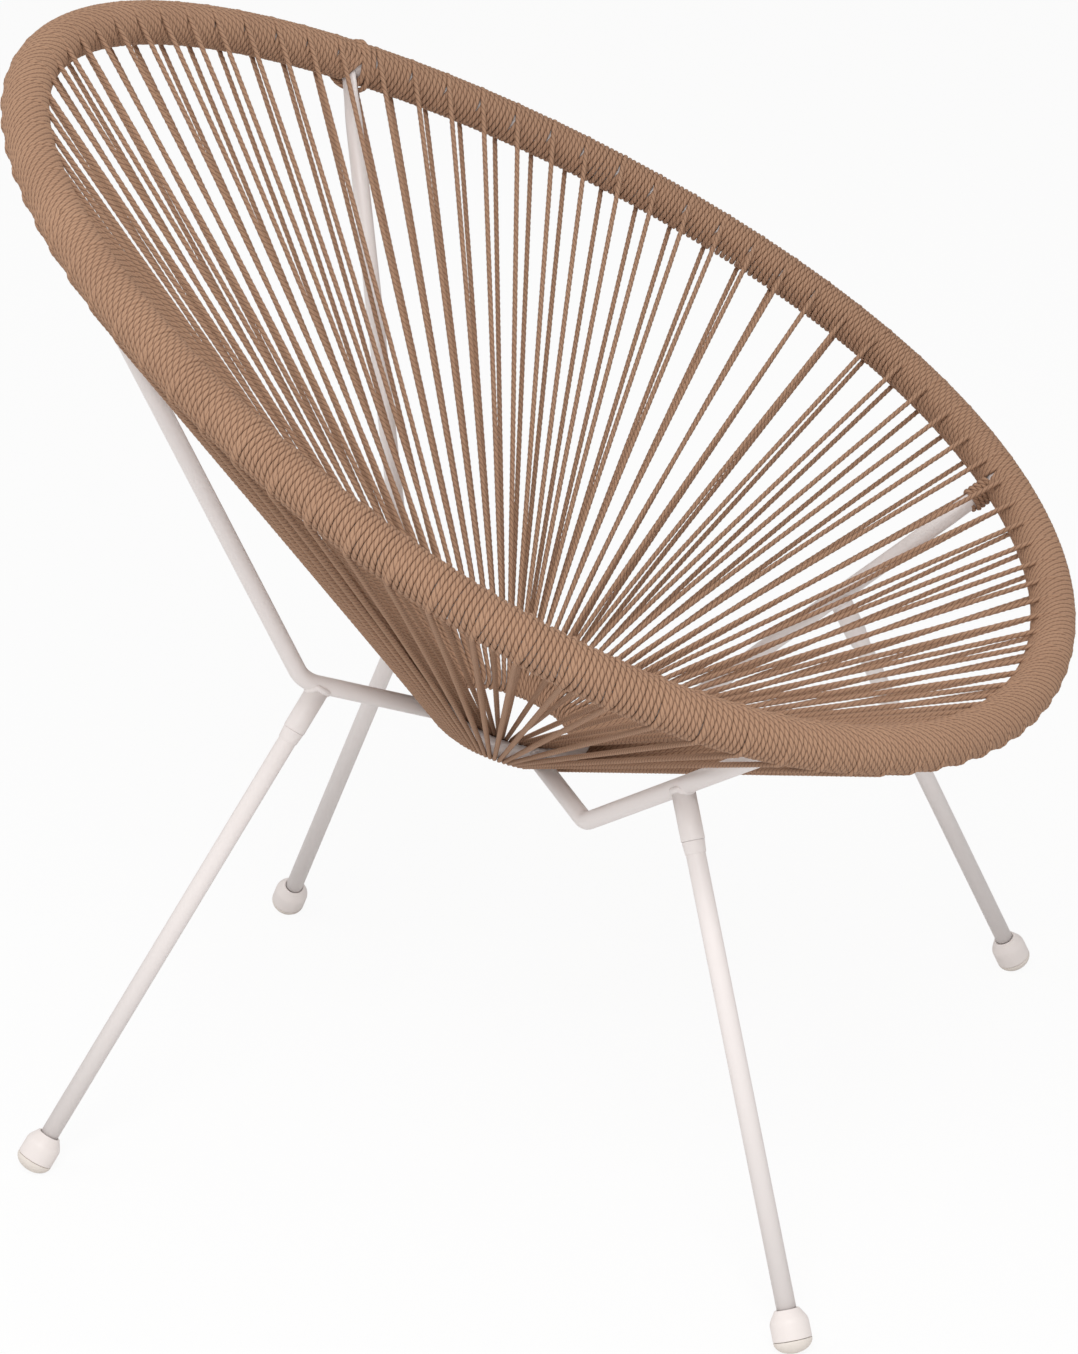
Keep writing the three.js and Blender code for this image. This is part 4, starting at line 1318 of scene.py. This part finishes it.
def wound_spans():
    """The loops of each span, each with the rope wound round the rim between it and the last."""
    spans = {name: span_loops(name) for name in SPANS}
    all_loops = [loop for loops in spans.values() for loop in loops]
    for loop, lower in zip(all_loops, [all_loops[-1], *all_loops]):
        loop["wrap"] = wrap_line(loop, lower)
    return spans


def add_span(name, loops, number):
    """The winding of one span and its strings, one piece for each sector."""
    wraps = [loop["wrap"] for loop in loops]
    node = f"rim_winding_{name}"
    add_rope(f"winding_rope_{name}", wraps, WINDING_STRAND_POINTS, number, node)
    start = 0
    for sector, count in enumerate(SPANS[name][3], 1):
        strings = [loop_line(loop) for loop in loops[start : start + count]]
        seed = SEEDS_PER_SPAN * number + sector
        node = f"web_{name}_{sector}"
        add_rope(f"web_rope_{name}_{sector}", strings, STRING_STRAND_POINTS, seed, node)
        start += count


# Floor, light and camera


def add_floor():
    mesh = bpy.data.meshes.new("floor")
    side = FLOOR_HALF_WIDTH
    corners = [(-side, -side, 0), (side, -side, 0), (side, side, 0), (-side, side, 0)]
    mesh.from_pydata(corners, [], [(0, 1, 2, 3)])
    floor = link(bpy.data.objects.new("floor", mesh))
    finish = Finish("floor", FLOOR_COLOR, roughness=0.9)
    links = finish.tree.links
    glow = finish.node("ShaderNodeEmission", Color=WHITE, Strength=1.0)
    path = finish.node("ShaderNodeLightPath")
    mixed = finish.node("ShaderNodeMixShader")
    finish.feed(mixed.inputs["Fac"], finish.wire(path, "Is Camera Ray") * FLOOR_GLOW_SHARE)
    links.new(finish.shader.outputs[0], mixed.inputs[1])
    links.new(glow.outputs[0], mixed.inputs[2])
    links.new(mixed.outputs[0], finish.tree.nodes["Material Output"].inputs["Surface"])
    mesh.materials.append(finish.material)


def add_world():
    """Warm room light on the chair, with plain white behind it."""
    world = bpy.data.worlds.new("studio")
    world.use_nodes = True
    bpy.context.scene.world = world
    board = Board(world.node_tree)
    links = world.node_tree.links
    room = world.node_tree.nodes["Background"]
    room.inputs["Color"].default_value = ROOM_COLOR
    room.inputs["Strength"].default_value = ROOM_STRENGTH
    white = board.node("ShaderNodeBackground", Color=WHITE, Strength=1.0)
    path = board.node("ShaderNodeLightPath")
    mixed = board.node("ShaderNodeMixShader")
    board.feed(mixed.inputs["Fac"], board.wire(path, "Is Camera Ray"))
    links.new(room.outputs[0], mixed.inputs[1])
    links.new(white.outputs[0], mixed.inputs[2])
    links.new(mixed.outputs[0], world.node_tree.nodes["World Output"].inputs["Surface"])


def add_lamp(name, place, size, power):
    light = bpy.data.lights.new(name, "AREA")
    light.size = size
    light.energy = power
    lamp = link(bpy.data.objects.new(name, light))
    lamp.location = place
    away = Vector(place) - Vector(LAMP_TARGET)
    lamp.rotation_euler = away.to_track_quat("Z", "Y").to_euler()


def add_camera():
    """The photograph's own view, from its focal length and place."""
    camera = bpy.data.cameras.new("camera")
    camera.sensor_fit = "VERTICAL"
    camera.lens = CAMERA_FOCAL_PIXELS / PHOTO_HEIGHT_PIXELS * camera.sensor_height
    camera.clip_end = CAMERA_CLIP_END
    holder = link(bpy.data.objects.new("camera", camera))
    holder.location = CAMERA_PLACE
    ahead = math.cos(CAMERA_PITCH) * math.cos(CAMERA_YAW)
    aside = math.cos(CAMERA_PITCH) * math.sin(CAMERA_YAW)
    forward = Vector((ahead, aside, math.sin(CAMERA_PITCH)))
    holder.rotation_euler = (-forward).to_track_quat("Z", "Y").to_euler()
    bpy.context.scene.camera = holder


add_rings()
for number, (name, line) in enumerate(LINES.items()):
    add_corner(name, line, number)
for number, (name, loops) in enumerate(wound_spans().items()):
    add_span(name, loops, number)
add_floor()
add_world()
add_lamp("key", KEY_PLACE, KEY_SIZE, KEY_POWER)
add_lamp("fill", FILL_PLACE, FILL_SIZE, FILL_POWER)
add_camera()
bpy.context.scene.view_settings.view_transform = "Standard"
